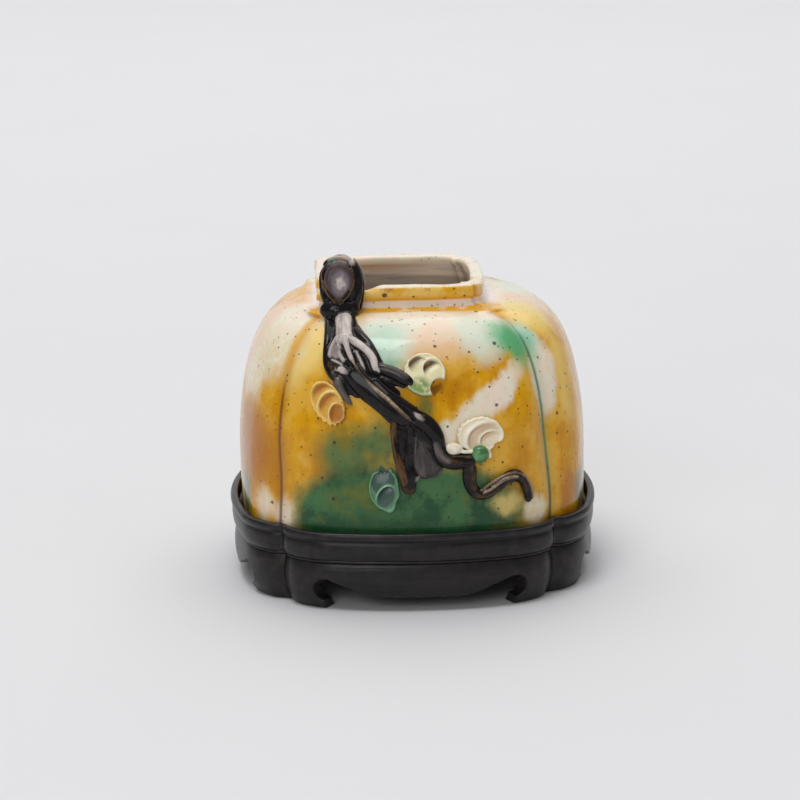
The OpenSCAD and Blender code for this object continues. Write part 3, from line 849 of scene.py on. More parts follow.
# Levels of the vessel's skin: share of the hem out and up, and then, from the foot of the neck over the lip
# into the mouth, out from the neck's half width and down from its mouth
HEM_CURVE = ((1, 0), (0.4, 0.1), (0.1, 0.4))
NECK_CURVE = (
    (0.6, 5.18), (0.0, 5.0), (-0.35, 4.7), (-0.55, 4.2), (-0.6, 3.6), (-0.55, 3.3), (-0.35, 3.08),
    (-0.08, 2.9), (0.0, 2.6), (0.0, 2.1), (0.0, 1.6), (0.0, 1.0), (-0.15, 0.5), (-0.4, 0.2),
    (-0.8, 0.02), (-1.4, 0.0), (-2.1, 0.0), (-2.7, 0.08), (-3.1, 0.3), (-3.28, 0.7), (-3.3, 1.3),
)
VESSEL_SIDES = 96
FOOT_STEPS, SKIN_STEPS, MOUTH_STEPS, INSIDE_STEPS, INSIDE_CROWD = 6, 60, 8, 20, 1.3
# The clay is bare from this far below the mouth
BARE_DOWN = 2.0


def vessel_levels():
    """Levels of the vessel's skin from its hem over the lip and down inside.

    Each is (half, z, shift, bare, square), where square is how far it follows the neck's squarer plan."""
    foot = VESSEL_HALF - FOOT_IN
    rows = [(foot - HEM * out, FOOT_Z + HEM * up, 0, 0, 0) for out, up in HEM_CURVE]
    for i in range(FOOT_STEPS):
        z = FOOT_Z + HEM + (BELLY_H - HEM) * i / FOOT_STEPS
        rows.append((VESSEL_HALF - FOOT_IN * ((BELLY_Z - z) / BELLY_H) ** 2, z, 0, 0, 0))

    def shoulder(turn, half, height, top, bare):
        square = smoothstep(SHIFT_TURN, top, turn)
        rows.append((half_by_turn(turn, half), rise_by_turn(turn, height), shift_by_turn(turn, top), bare, square))

    for i in range(SKIN_STEPS + 1):
        shoulder(turn_by_down(BELLY_DOWN * (1 - i / SKIN_STEPS)), VESSEL_HALF, SHOULDER_H, TOP_TURN, 0)
    rows += [(NECK_HALF + out, MOUTH_Z - down, NECK_SHIFT, 0, 1) for out, down in NECK_CURVE]
    inner_half = VESSEL_HALF - WALL
    inner_h = SHOULDER_H - WALL
    hole_turn = turn_by_half(HOLE_HALF, inner_half)
    top, low = MOUTH_Z - BARE_DOWN, rise_by_turn(hole_turn, inner_h)
    rows += [(HOLE_HALF, top - (top - low) * i / MOUTH_STEPS, NECK_SHIFT, 1, 1) for i in range(MOUTH_STEPS)]
    for i in range(INSIDE_STEPS + 1):
        shoulder(hole_turn * (1 - (i / INSIDE_STEPS) ** INSIDE_CROWD), inner_half, inner_h, hole_turn, 1)
    rows += [(inner_half, z, 0, 1, 0) for z in ((FOOT_Z + BELLY_Z) / 2, FOOT_Z)]
    return rows


# The potter's hand: sizes and shares of the wall's waves, and their share inside
WAVES = ((13, 1.0), (4, 0.25))
INNER_WAVE = 0.3
# How far from a corner groove it is leaned and notched
GROOVE_REACH = 6.0
NOTCH_REACH = 0.9
# Heights between which the grooves start to lean
LEAN_Z = (FOOT_Z + 5, BELLY_Z + 16)
# How far the front left groove is set out at its foot, and over what height
FOOT_SPLAY = 1.4
SPLAY_Z = (FOOT_Z + 18, FOOT_Z)
# The right side of the neck leans in, less towards its front corner
NECK_LEAN_X, NECK_LEAN_Z = (9, 15), (MOUTH_Z - 6, MOUTH_Z - 2)
NECK_CORNER_Y, CORNER_EASE = (13, 16.5), 0.6
# The rim is uneven, and dips beside the stump
RIM_Z_RANGE = (MOUTH_Z - 4, MOUTH_Z - 1)
RIM_WAVE, RIM_WAVE_SIZE = 0.3, 7
DIP_FRONT_Y, DIP_X = -8, (-6.5, -11.0)


def work_by_hand(bm, levels, sizes):
    """Leaves the wall uneven, leans the grooves and the neck, notches its corners and wears the rim."""
    wave, dip, lean, notch, inward = (
        size / MM
        for size in (sizes.waviness, sizes.rim_dip, sizes.groove_lean, sizes.neck_notch, sizes.neck_lean)
    )
    bare, row, groove = (bm.verts.layers.float[name] for name in ("bare", "row", "groove"))
    for v in bm.verts:
        inside = v[bare] > 0.5
        amount = wave * sum(share * noise.noise(v.co / size) for size, share in WAVES)
        v.co += v.normal * amount * (INNER_WAVE if inside else 1)
        if not inside:
            near = bell(v[groove] * VESSEL_HALF, GROOVE_REACH)
            v.co.x -= lean * smoothstep(*LEAN_Z, v.co.z) * near
            if v.co.x < 0 and v.co.y < 0:
                v.co.x -= FOOT_SPLAY * smoothstep(*SPLAY_Z, v.co.z) * near
        near = bell(v[groove] * NECK_HALF, NOTCH_REACH)
        square = levels[round(v[row])][4]
        v.co -= notch * square**2 * near * Vector((v.co.x - NECK_SHIFT, v.co.y, 0)).normalized()
        right = smoothstep(*NECK_LEAN_X, v.co.x - NECK_SHIFT)
        right *= 1 - CORNER_EASE * smoothstep(*NECK_CORNER_Y, -v.co.y)
        v.co.x -= inward * right * smoothstep(*NECK_LEAN_Z, v.co.z)
        rim = smoothstep(*RIM_Z_RANGE, v.co.z)
        if rim:
            v.co.z += RIM_WAVE * rim * noise.noise(Vector((v.co.x / RIM_WAVE_SIZE, v.co.y / RIM_WAVE_SIZE, 3)))
            if v.co.y < DIP_FRONT_Y:
                v.co.z -= dip * rim * smoothstep(*DIP_X, v.co.x)


class COUPE_OT_vessel(bpy.types.Operator):
    """Raises the vessel's skin ring by ring, from its hem over the lip and down inside"""

    bl_idname = "coupe.vessel"
    bl_label = "Vessel"

    def execute(self, context):
        bm = bmesh.new()
        for name in ("bare", "row"):
            bm.verts.layers.float.new(name)
        edges = lobed_ring(bm, VESSEL_SIDES)
        bare, row, along, panel = (bm.verts.layers.float[n] for n in ("bare", "row", "along", "panel"))
        levels = vessel_levels()

        def mark(at, verts):
            for v in verts:
                v[row], v[bare] = at, levels[at][3]

        first, last = raise_rings(bm, edges, [level[:3] for level in levels], mark)
        for v in bm.verts:
            half, z, shift, _, square = levels[round(v[row])]
            spot = BODY.at(v[along]).lerp(NECK.at(v[along]), square)
            spot = Matrix.Rotation(v[panel] * math.pi / 2, 3, "Z") @ spot
            v.co = half * spot + Vector((shift, 0, z))
        bmesh.ops.bridge_loops(bm, edges=first + last)
        bmesh.ops.recalc_face_normals(bm, faces=bm.faces)
        bm.normal_update()
        work_by_hand(bm, levels, context.scene.coupe_sizes)
        drop_layers(bm, "row", "along", "panel")
        glaze = splashed_glaze(context.scene.glaze_colours)
        finish_piece("vessel_skin", bm, glaze, "coupe", ("vessel_shell", "neck_collar"))
        return {"FINISHED"}


class COUPE_OT_base(bpy.types.Operator):
    """Gives the base slab its bare clay"""

    bl_idname = "coupe.base"
    bl_label = "Base slab"

    def execute(self, context):
        colours = context.scene.glaze_colours
        f = Finish("bare_clay")
        grit = f.noise(1.2, 4.0, 0.7)
        clouds = f.noise(9.0, 3.0, 0.6)
        colour = f.layered(
            colours.buff,
            (clouds.between(0.35, 0.65), srgb(160, 138, 118)),
            (f.cells(2.2).between(0.16, 0.08) * 0.6, colours.speck),
        )
        look = {"Base Color": colour, "Roughness": 0.7 + (grit - 0.5) * 0.3, "Specular IOR Level": 0.3}
        clay = f.surface(look, grit, depth=0.2, strength=0.5)
        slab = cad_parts["base_slab"].data
        slab.materials.clear()
        slab.materials.append(clay)
        return {"FINISHED"}


# The branch

# Coils laid on the front: glaze, its strength, height as a share of the half width, lift of the middle line,
# and drawn points (across, down, half width), in millimetres from the stump's foot
COILS = (
    ("bark", 1, 0.20, 0.1, ((0.0, -1.8, 3.4), (0.1, 2.3, 3.9), (0.9, 6.0, 4.8), (1.6, 8.7, 5.4), (2.4, 11.1, 5.9),
        (3.4, 13.4, 5.4), (4.9, 15.9, 4.1), (6.1, 17.6, 2.9))),
    ("bark", 1, 0.72, 0.5, ((2.1, 12.7, 2.5), (4.1, 15.2, 2.6), (6.5, 17.8, 2.5), (8.7, 19.7, 2.4),
        (11.0, 21.4, 2.4), (13.3, 22.9, 2.3), (14.7, 23.7, 1.8))),
    ("bark", 1, 1.0, 0.5, ((-2.3, -1.1, 1.0), (-2.3, 3.1, 1.0), (-2.6, 6.4, 1.0), (-3.0, 9.5, 0.9),
        (-3.0, 11.8, 0.9), (-2.2, 13.6, 1.0), (-1.3, 15.0, 1.0))),
    ("bark", 1, 1.0, 0.4, ((2.7, 2.6, 0.9), (4.3, 4.7, 1.0), (5.9, 6.9, 1.0), (7.0, 9.1, 1.0), (8.0, 11.3, 1.0),
        (9.0, 12.5, 0.9))),
    ("lilac", 1, 0.62, 0.9, ((0.9, -0.9, 1.9), (0.9, 1.2, 1.9), (0.9, 2.9, 1.8), (0.9, 5.0, 1.9), (1.0, 6.6, 2.2),
        (1.3, 7.6, 1.7))),
    ("lilac", 0.9, 0.6, 1.3, ((0.0, 5.6, 0.9), (-1.2, 7.6, 0.62), (-1.9, 9.2, 0.5), (-2.1, 10.6, 0.36))),
    ("lilac", 0.7, 0.35, 1.15, ((-0.2, 6.4, 1.0), (-0.9, 8.2, 1.3), (-1.0, 9.8, 1.1), (-0.4, 11.0, 0.8))),
    ("lilac", 0.8, 0.7, 1.2, ((0.4, 6.0, 0.6), (-0.3, 8.0, 0.46), (-0.2, 9.7, 0.46), (0.6, 11.1, 0.46),
        (1.6, 12.4, 0.44), (2.2, 13.4, 0.36))),
    ("bark", 1, 0.8, 1.0, ((-2.3, 10.9, 0.7), (-1.1, 11.6, 0.8), (0.4, 12.2, 0.75), (1.7, 13.1, 0.6))),
    ("lilac", 0.7, 1.0, 1.75, ((-1.9, 11.0, 0.2), (-0.7, 11.5, 0.22), (0.5, 12.1, 0.2))),
    ("lilac", 0.9, 0.9, 1.4, ((-0.6, 12.9, 0.6), (0.5, 13.1, 0.85), (1.6, 13.6, 0.8), (2.2, 14.2, 0.5))),
    ("rust", 1, 0.8, 0.5, ((-2.0, 12.0, 1.25), (-1.4, 13.4, 1.25), (-0.6, 14.4, 1.0))),
    ("lilac", 0.95, 1.0, 1.6, ((1.1, 6.4, 0.85), (1.5, 8.2, 0.62), (2.1, 10.1, 0.5), (3.0, 11.9, 0.4))),
    ("tan", 1, 1.2, 1.75, ((2.6, 11.2, 0.34), (3.3, 12.4, 0.34), (4.4, 14.0, 0.36), (6.0, 15.8, 0.4),
        (7.9, 17.5, 0.44), (10.0, 19.3, 0.46), (11.9, 21.1, 0.46), (13.4, 22.5, 0.4), (15.4, 24.1, 0.24))),
    ("bark", 1, 0.22, 0.2, ((13.0, 22.6, 2.2), (15.2, 24.6, 2.6), (17.4, 27.6, 2.9), (19.4, 30.4, 2.2))),
    ("lilac", 0.8, 1.0, 1.1, ((3.2, 8.8, 0.34), (3.9, 10.2, 0.34), (4.5, 11.6, 0.34), (5.0, 13.0, 0.34),
        (5.6, 14.6, 0.34))),
    ("lilac", 1, 0.95, 1.4, ((2.1, 6.1, 0.9), (3.4, 7.1, 0.9), (4.8, 8.1, 0.85), (6.0, 9.3, 0.8), (6.9, 10.7, 0.8),
        (7.3, 12.1, 0.8), (7.6, 13.2, 0.8))),
    ("bark", 1, 0.3, 0.0, ((7.0, 13.5, 1.6), (10.5, 14.1, 1.5), (13.9, 15.4, 1.25))),
    ("bark", 1, 0.8, 0.9, ((7.6, 12.2, 1.1), (9.7, 12.9, 1.3), (11.8, 13.8, 1.4), (13.7, 14.9, 1.35),
        (15.6, 16.0, 0.9))),
    ("bark", 1, 0.9, 0.5, ((6.6, 14.6, 0.7), (9.6, 14.9, 0.7), (11.7, 15.7, 0.6), (13.8, 16.6, 0.57))),
    ("bark", 1, 0.5, 0.2, ((7.8, 15.9, 1.4), (10.4, 17.1, 1.1), (12.5, 18.4, 0.9))),
    ("bark", 1, 0.9, 1.0, ((6.7, 14.7, 0.9), (9.6, 17.4, 1.0), (12.1, 19.3, 1.0), (14.4, 21.0, 1.0),
        (16.2, 22.3, 1.1))),
    ("rust", 0.5, 0.6, 0.5, ((2.3, 15.5, 0.9), (4.4, 18.0, 1.1), (6.9, 20.1, 1.1), (9.2, 22.2, 1.0),
        (10.7, 24.2, 0.8))),
    ("lilac", 0.2, 0.9, 0.5, ((-1.0, 14.6, 1.2), (-0.6, 16.2, 1.1), (0.2, 17.8, 0.9), (1.2, 19.4, 0.7),
        (2.2, 20.6, 0.45))),
    ("lilac", 0.3, 0.7, 0.3, ((1.9, 14.9, 0.7), (2.5, 16.6, 0.8), (3.0, 18.1, 0.57))),
    ("bark", 1, 0.9, 1.1, ((13.8, 22.3, 0.8), (15.0, 23.1, 0.9), (16.3, 23.7, 0.8))),
    # Painted highlight: pale lilac on the knob at the fork
    ("lilac", 0.55, 0.9, 2.0, ((15.5, 22.3, 0.5), (16.4, 22.8, 0.7), (17.3, 23.4, 0.55))),
    ("bark", 1, 1.0, 1.6, ((16.2, 22.6, 0.8), (17.4, 23.2, 0.9), (18.4, 24.2, 0.7))),
    ("rust", 0.8, 0.9, 0.6, ((12.0, 22.6, 0.8), (11.0, 24.6, 0.75), (10.9, 27.2, 0.7), (11.2, 30.0, 0.75),
        (11.8, 32.6, 0.9), (12.7, 35.0, 1.2), (13.5, 37.0, 1.4))),
    ("bark", 1, 0.45, 0.15, ((12.8, 24.5, 1.4), (12.7, 28.0, 1.4), (12.9, 31.3, 1.4), (13.4, 33.9, 1.4),
        (13.7, 36.4, 1.6))),
    ("bark", 1, 0.8, 0.7, ((14.6, 23.2, 1.0), (14.6, 26.0, 0.85), (14.4, 28.6, 0.8), (14.0, 31.4, 0.9),
        (14.0, 33.6, 1.0), (14.3, 35.6, 1.3), (14.2, 37.6, 1.5))),
    ("rust", 0.4, 0.6, 0.4, ((13.3, 35.3, 1.9), (13.9, 37.3, 1.8), (14.0, 39.1, 1.6), (13.7, 40.2, 1.0))),
    # Painted highlight: pale lilac on the left leg's lobe
    ("lilac", 0.3, 0.8, 1.0, ((16.1, 36.0, 0.57), (15.6, 37.1, 0.57))),
    ("lilac", 0.14, 0.24, 0.2, ((15.4, 25.8, 1.1), (16.4, 28.9, 2.3), (17.4, 32.0, 3.2), (18.2, 34.2, 3.5),
        (18.2, 35.6, 3.0), (18.1, 36.6, 2.2))),
    ("lilac", 0.16, 0.9, 0.6, ((15.7, 26.6, 0.3), (15.5, 29.2, 0.34), (15.4, 31.6, 0.34), (15.8, 33.8, 0.3))),
    ("bark", 1, 1.0, 0.6, ((16.3, 36.1, 0.4), (17.8, 36.4, 0.4), (19.5, 35.7, 0.4), (20.8, 34.6, 0.34))),
    ("bark", 1, 0.85, 0.8, ((15.4, 23.1, 1.8), (17.1, 23.8, 1.9), (18.9, 25.3, 1.9), (20.3, 27.5, 1.7),
        (20.8, 29.9, 1.5), (21.5, 31.9, 1.7), (22.9, 32.9, 1.85), (25.0, 33.0, 1.85), (27.6, 32.9, 1.75),
        (28.6, 33.0, 1.5))),
    ("bark", 1, 0.85, 0.6, ((27.6, 33.6, 1.6), (27.3, 35.3, 1.6), (27.3, 37.3, 1.55), (27.9, 39.4, 1.4),
        (29.3, 40.6, 1.3), (31.1, 40.6, 1.3), (33.0, 39.3, 1.4), (35.1, 37.8, 1.45), (37.1, 37.1, 1.4),
        (38.7, 38.0, 1.25), (39.7, 40.1, 1.15), (40.2, 42.4, 0.95), (40.1, 43.7, 0.62))),
    ("tan", 0.8, 1.0, 1.3, ((29.8, 39.6, 0.34), (31.3, 38.6, 0.34), (33.0, 37.5, 0.34), (35.0, 36.6, 0.34),
        (37.1, 36.4, 0.34), (38.9, 37.3, 0.34), (40.1, 39.2, 0.34), (40.7, 41.3, 0.3), (40.8, 43.1, 0.28))),
    ("tan", 0.8, 1.0, 1.85, ((30.2, 40.1, 0.3), (31.4, 39.6, 0.28), (32.8, 38.6, 0.28), (34.4, 37.6, 0.28),
        (36.0, 37.1, 0.28), (37.4, 37.2, 0.28))),
)
# Painted sheens: highlights painted along coils in a glaze's colour, on the right leg's bend, along the tendril and
# on the upper twig: glaze, strength, lift and drawn points, as above
SHEENS = (
    ("lilac", 0.32, 2.3, ((19.9, 29.2, 0.5), (20.5, 30.7, 0.6), (21.4, 31.9, 0.5), (22.4, 32.5, 0.35))),
    ("rust", 0.8, 1.9, ((22.6, 32.4, 0.6), (24.6, 32.3, 0.7), (27.0, 32.0, 0.6))),
    ("rust", 0.9, 1.6, ((27.9, 34.4, 0.5), (27.8, 36.4, 0.6), (28.2, 38.6, 0.5))),
    ("rust", 0.7, 1.5, ((28.6, 40.8, 0.4), (31.0, 41.3, 0.5), (33.6, 39.9, 0.5), (35.6, 38.6, 0.4))),
    ("rust", 0.6, 1.5, ((38.2, 38.4, 0.4), (39.4, 40.6, 0.4), (39.9, 42.6, 0.3))),
    ("lilac", 0.14, 1.8, ((9.4, 12.2, 0.6), (11.6, 13.1, 0.7), (13.8, 14.2, 0.6))),
)

# The stump is an egg of bark on the neck's corner, with a dome above, a collar below and a swelling on its right:
# centre, half sizes and taper
STUMP_CENTRE = Vector((-16.2, -18.4, 68.4))
STUMP_HALF = Vector((4.5, 4.7, 6.7))
STUMP_EGGS = (
    (STUMP_CENTRE, STUMP_HALF, 0.05),
    (Vector((-15.9, -17.6, 72.9)), Vector((3.1, 3.2, 3.1)), 0.0),
    (Vector((-16.4, -21.9, 64.2)), Vector((4.5, 2.8, 3.0)), 0.2),
    (Vector((-13.6, -20.6, 68.2)), Vector((2.2, 2.2, 5.6)), 0.2),
)
BUD_CENTRE = Vector((-16.6, -22.5, 70.8))
BUD_HALF = Vector((3.2, 2.6, 4.4))
BUD_FRONT = 0.62
BUD_TAPER = 0.66
BUD_LEAN = math.radians(-16)
# The painted highlight on the bud's face: its brightest place, across and up from its centre, and how far it spreads
BUD_HIGHLIGHT = (0.35, -0.5)
BUD_SHINE = (1.7, 2.4)
# Above this height, over a short fade, a pearly sheen is painted on the dome's top; half width and soft edge of that
SHEEN_TOP_Z, SHEEN_FADE = 73.9, 0.8
DOME_HALF, DOME_SOFT = 3.2, 0.5
# Lips of the husk round the bud: glaze, strength, half width, lift, points (x, z) on the stump's front
HUSK_LIPS = (
    ("bark", 1, 0.8, 0.0, ((-18.4, 74.0), (-19.8, 72.2), (-20.1, 69.8), (-19.7, 67.2), (-18.8, 65.0),
        (-17.9, 63.0))),
    ("bark", 1, 1.0, 0.6, ((-14.4, 74.4), (-13.2, 72.6), (-12.7, 70.2), (-12.9, 67.6), (-13.8, 65.2),
        (-15.2, 63.4))),
    ("bark", 1, 0.7, 0.2, ((-12.7, 73.0), (-11.9, 71.0), (-11.7, 68.8), (-11.9, 66.2), (-12.6, 63.6),
        (-13.6, 61.6))),
    ("rust", 1, 0.26, 0.9, ((-19.0, 73.4), (-19.55, 71.9), (-19.45, 70.2), (-18.8, 68.6), (-17.9, 67.3),
        (-17.0, 66.5))),
    ("rust", 1, 0.26, 1.1, ((-14.4, 73.6), (-13.8, 71.9), (-13.9, 70.2), (-14.5, 68.6), (-15.4, 67.3),
        (-16.5, 66.4))),
    ("bark", 1, 0.42, 0.8, ((-19.3, 73.4), (-18.2, 74.4), (-16.5, 74.9), (-14.8, 74.5), (-13.6, 73.2))),
    ("lilac", 0.45, 0.28, 1.5, ((-14.2, 74.5), (-12.9, 72.6), (-12.3, 70.6), (-12.1, 69.2))),
)


# An egg's taper: power of its curve across, and share of it in depth
TAPER_POWER, TAPER_DEEP = 1.5, 0.5
# Least depth of the stump's front, squared, as a share of its half size
LEAST_DEPTH = 0.02


def on_stump(x, z, out):
    """Point and normal on the stump's front."""
    across, up = (x - STUMP_CENTRE.x) / STUMP_HALF.x, (z - STUMP_CENTRE.z) / STUMP_HALF.z
    depth = math.sqrt(max(LEAST_DEPTH, 1 - across**2 - up**2))
    spot = Vector((x, STUMP_CENTRE.y - STUMP_HALF.y * depth, z))
    normal = Vector((across / STUMP_HALF.x, -depth / STUMP_HALF.y, up / STUMP_HALF.z)).normalized()
    return spot + out * normal, normal


def egg(bm, centre, half, taper=0.0, lean=0.0, front=1.0):
    """An egg with its small end down, leaning back, and cut flat in front where that is less than 1."""
    made = bmesh.ops.create_icosphere(bm, subdivisions=4, radius=1)["verts"]
    for v in made:
        low = max(0, -v.co.z)
        v.co.y = max(v.co.y, -front)
        v.co.x *= 1 - taper * low**TAPER_POWER
        v.co.y *= 1 - TAPER_DEEP * taper * low
    place = Matrix.Translation(centre) @ Matrix.Rotation(lean, 4, "X") @ Matrix.Diagonal((*half, 1))
    bmesh.ops.transform(bm, matrix=place, verts=made)


def branch_finish(colours):
    """Aubergine glaze: black in the hollows, partly where it pools and partly painted shade, thin and lilac on the
    ridges, with painted highlights on the pale ridges and the bud and a painted sheen on the dome.
    """
    f = Finish("branch_glaze")
    names = ("ridge", "grain", "lilac", "tan", "rust", "bud", "glow", "pearl")
    ridge, grain, lilac, tan, rust, bud, glow, dome = (f.attribute(name) for name in names)
    clouds = f.noise(2.2, 4.0, 0.65)
    fine = f.noise(0.6, 3.0, 0.6)
    film = f.noise(3.0, 1.0)
    blush = f.noise(1.2, 3.0, 0.6)
    worn = (ridge + (grain - 0.5) * 0.5).between(0.5, 1.1)
    # Painted shade as well as pooled glaze: the hollows are darkened, and the pale and bare glazes are dimmed in
    # them
    shaded_hollow = ridge.between(-0.05, -0.5)
    thin = lilac * (0.8 + 0.2 * clouds.between(0.35, 0.6)) * (1 - shaded_hollow * 0.7)
    bare = tan * (0.45 + 0.55 * grain.between(0.3, 0.6)) * (1 - shaded_hollow * 0.4)
    specks = f.cells(0.9).between(0.18, 0.08) * f.chance(0.9, 0.62, 0.04, 1)
    pale = f.layered(
        srgb(164, 150, 145),
        ((grain * 0.7 + fine * 0.3).between(0.3, 0.7), colours.lilac),
        # Painted highlight: the pale glaze is lighter on its ridges
        (ridge.between(0.0, 0.5) * 0.5, srgb(226, 216, 209)),
    )
    face = f.layered(
        srgb(70, 53, 52),
        # Painted highlight on the bud's face, lightest round its brightest place
        (glow.between(0.0, 0.45), f.mix(film.between(0.35, 0.65), srgb(128, 113, 118), srgb(106, 101, 112))),
        ((glow * 0.85 + (blush - 0.5) * 1.6).between(0.36, 0.98), srgb(206, 194, 188)),
        (blush.between(0.58, 0.68) * 0.6, srgb(58, 44, 46)),
        (bud.between(1.0, 0.75) * 0.8, colours.rust),
    )
    pearl = f.layered(
        srgb(198, 170, 176),
        (film.between(0.40, 0.60), srgb(160, 196, 182)),
        (clouds.between(0.5, 0.6) * 0.6, srgb(196, 180, 120)),
    )
    colour = f.layered(
        colours.bark,
        (clouds.between(0.48, 0.70), srgb(40, 30, 28)),
        (worn * 0.35, srgb(122, 100, 82)),
        (rust * (clouds * 0.5 + grain * 0.5).between(0.38, 0.62) * 0.85, colours.rust),
        (thin, pale),
        (bare * 0.85, f.mix(fine.between(0.4, 0.7), colours.tan, srgb(206, 186, 160))),
        (shaded_hollow * 0.75, srgb(14, 12, 13)),
        (bud, face),
        # Painted sheen on the top of the dome
        (dome * clouds.between(0.30, 0.50) * 0.85, pearl),
        (specks * 0.7, srgb(24, 20, 20)),
    )
    look = {
        "Base Color": colour,
        "Roughness": 0.13 + lilac * 0.14 + bud * 0.2 + (fine - 0.5) * 0.06,
        "Specular IOR Level": 0.25,
    }
    return f.surface(look, clouds, depth=0.06, strength=0.15)


# How much the grain of the bark is drawn out along a coil and how far it is set apart from coil to coil, and how
# many points are measured at a time
GRAIN_STRETCH, GRAIN_APART = 0.2, 5
BATCH = 2048
# Width over which the glazes of neighbouring coils blend, and share and reach of a painted sheen
BLEND = 0.3
SHEEN_SHARE, SHEEN_REACH = 0.6, 1.1
# Layers of the bark's grain: size, height and change of shade; and how far bud and pale coils are free of it
GRAIN = ((1.3, 0.12, 0.5), (0.5, 0.015, 0.4))
BUD_CALM, PALE_CALM = 0.6, 0.85
# Rounds of smoothing that join the coils, and that find their ridges
BRANCH_SMOOTHING, BRANCH_RIDGES = 4, 14
BRANCH_NODES = (
    "branch_stump", "branch_trunk", "root_finger", "upper_twig", "left_twig", "left_leg", "right_leg", "fork_web",
    "tendril",
)


def coil_gaps(points, strokes):
    """Distance of each point from the skin of the nearest coil, with that coil's strength and the point's
    place beside and along it.

    Strokes are rows of (spot, normal, way, half, flat, strength, run)."""
    spots, normals, ways = (np.array([s[i] for s in strokes]) for i in range(3))
    half, flat, strength, run = (np.array([s[i] for s in strokes]) for i in range(3, 7))
    thick = half * np.minimum(flat, 1)
    gaps, nearest = np.empty(len(points)), np.empty(len(points), int)
    for start in range(0, len(points), BATCH):
        part = slice(start, start + BATCH)
        off = points[part, None, :] - spots[None]
        rise = (off * normals[None]).sum(2)
        side = np.maximum((off**2).sum(2) - rise**2, 0)
        away = (np.sqrt(side / half**2 + (rise / (half * flat)) ** 2) - 1) * thick
        nearest[part] = away.argmin(1)
        gaps[part] = away.min(1)
    off = points - spots[nearest]
    along = (off * ways[nearest]).sum(1)
    beside = off - along[:, None] * ways[nearest]
    beside[:, 2] += GRAIN_STRETCH * (run[nearest] + along)
    return gaps, strength[nearest], beside


def coil_strokes(path, flat, strength):
    """Rows for coil_gaps along a path of (spot, normal, half width)."""
    rows = []
    run = GRAIN_APART * path[0][0].x
    for i, (spot, normal, half) in enumerate(path):
        way = path[min(i + 1, len(path) - 1)][0] - path[max(i - 1, 0)][0]
        rows.append((tuple(spot), tuple(normal), tuple(way.normalized()), half, flat, strength, run))
        run += way.length / 2
    return rows


def egg_gaps(points, centre, half, taper):
    """Distance of each point from the skin of an egg."""
    local = (points - np.array(centre)) / np.array(half)
    low = np.clip(-local[:, 2], 0, 1)
    local[:, 0] /= 1 - taper * low**TAPER_POWER
    local[:, 1] /= 1 - TAPER_DEEP * taper * low
    return (np.sqrt((local**2).sum(1)) - 1) * min(half)


def lay_coils(bm):
    """Models the coils, the stump, its bud and husk, and gives the strokes of each glaze and of its painted sheens.
    """
    strokes = {"lilac": [], "tan": [], "rust": [], "bark": []}
    sheens = {"lilac": [], "rust": []}
    for shade, strength, flat, lift, points in COILS:
        path = laid_path(points, lift, COIL_STEP)
        sweep_coil(bm, path, flat)
        strokes[shade] += coil_strokes(path, flat, strength)
    for shade, strength, lift, points in SHEENS:
        sheens[shade] += coil_strokes(laid_path(points, lift, COIL_STEP), 1.0, strength)
    for centre, half, taper in STUMP_EGGS:
        egg(bm, centre, half, taper)
    egg(bm, BUD_CENTRE, BUD_HALF, BUD_TAPER, BUD_LEAN, BUD_FRONT)
    for shade, strength, half, lift, points in HUSK_LIPS:
        path = [(*on_stump(x, z, lift), half) for x, z in catmull(points, COIL_STEP)]
        sweep_coil(bm, path)
        strokes[shade] += coil_strokes(path, 1.0, strength)
    return strokes, sheens


def branch_layers(spots, found, sheens):
    """Share of each glaze at each point, which takes that of the coil, egg or bud that it lies on."""
    gaps = {shade: gap for shade, (gap, _, _) in found.items()}
    for centre, half, taper in STUMP_EGGS:
        gaps["bark"] = np.minimum(gaps["bark"], egg_gaps(spots, centre, half, taper))
    turned = np.array(Matrix.Rotation(-BUD_LEAN, 3, "X"))
    upright = (spots - np.array(BUD_CENTRE)) @ turned.T
    gaps["bud"] = egg_gaps(upright, (0, 0, 0), BUD_HALF, BUD_TAPER)
    stack = np.array(list(gaps.values()))
    layers = {}
    for i, shade in enumerate(gaps):
        others = np.delete(stack, i, 0).min(0)
        weight = np.clip(0.5 + (others - stack[i]) / BLEND, 0, 1)
        layers[shade] = weight * (found[shade][1] if shade in found else 1)
    # Painted sheens: highlights laid into the lilac and rust glazes along their strokes
    for shade, rows in sheens.items():
        gap, strength, _ = coil_gaps(spots, rows)
        thin = np.clip(SHEEN_SHARE - gap / SHEEN_REACH, 0, 1)
        layers[shade] = np.maximum(layers[shade], strength * thin)
    # Painted highlight on the bud's face, round its brightest place
    shine = (upright[:, (0, 2)] - np.array(BUD_HIGHLIGHT)) / np.array(BUD_SHINE)
    layers["glow"] = np.exp(-(shine**2).sum(1)) * layers["bud"]
    # Painted sheen on the dome's top, above a height
    dome = np.clip((DOME_HALF - abs(spots[:, 0] - STUMP_EGGS[1][0].x)) / DOME_SOFT, 0, 1)
    layers["pearl"] = np.clip((spots[:, 2] - SHEEN_TOP_Z) / SHEEN_FADE, 0, 1) * (1 - layers["bud"]) * dome
    # The shader starts from bark, so its share isn't needed
    del layers["bark"]
    return layers


def raise_grain(bm, found, calm):
    """Raises the grain of the bark, which runs along the coils, and gives its level at each point."""
    first = np.array([gap for gap, _, _ in found.values()]).argmin(0)
    places = np.array([place for _, _, place in found.values()])[first, np.arange(len(first))]
    levels = np.full(len(first), 0.5)
    bm.normal_update()
    for i, (v, place) in enumerate(zip(bm.verts, places)):
        lift = 0.0
        for size, height, shade in GRAIN:
            level = noise.noise(Vector(place) / size)
            lift += height * level
            levels[i] += shade * level
        v.co += v.normal * (1 - calm[i]) * lift
    return levels


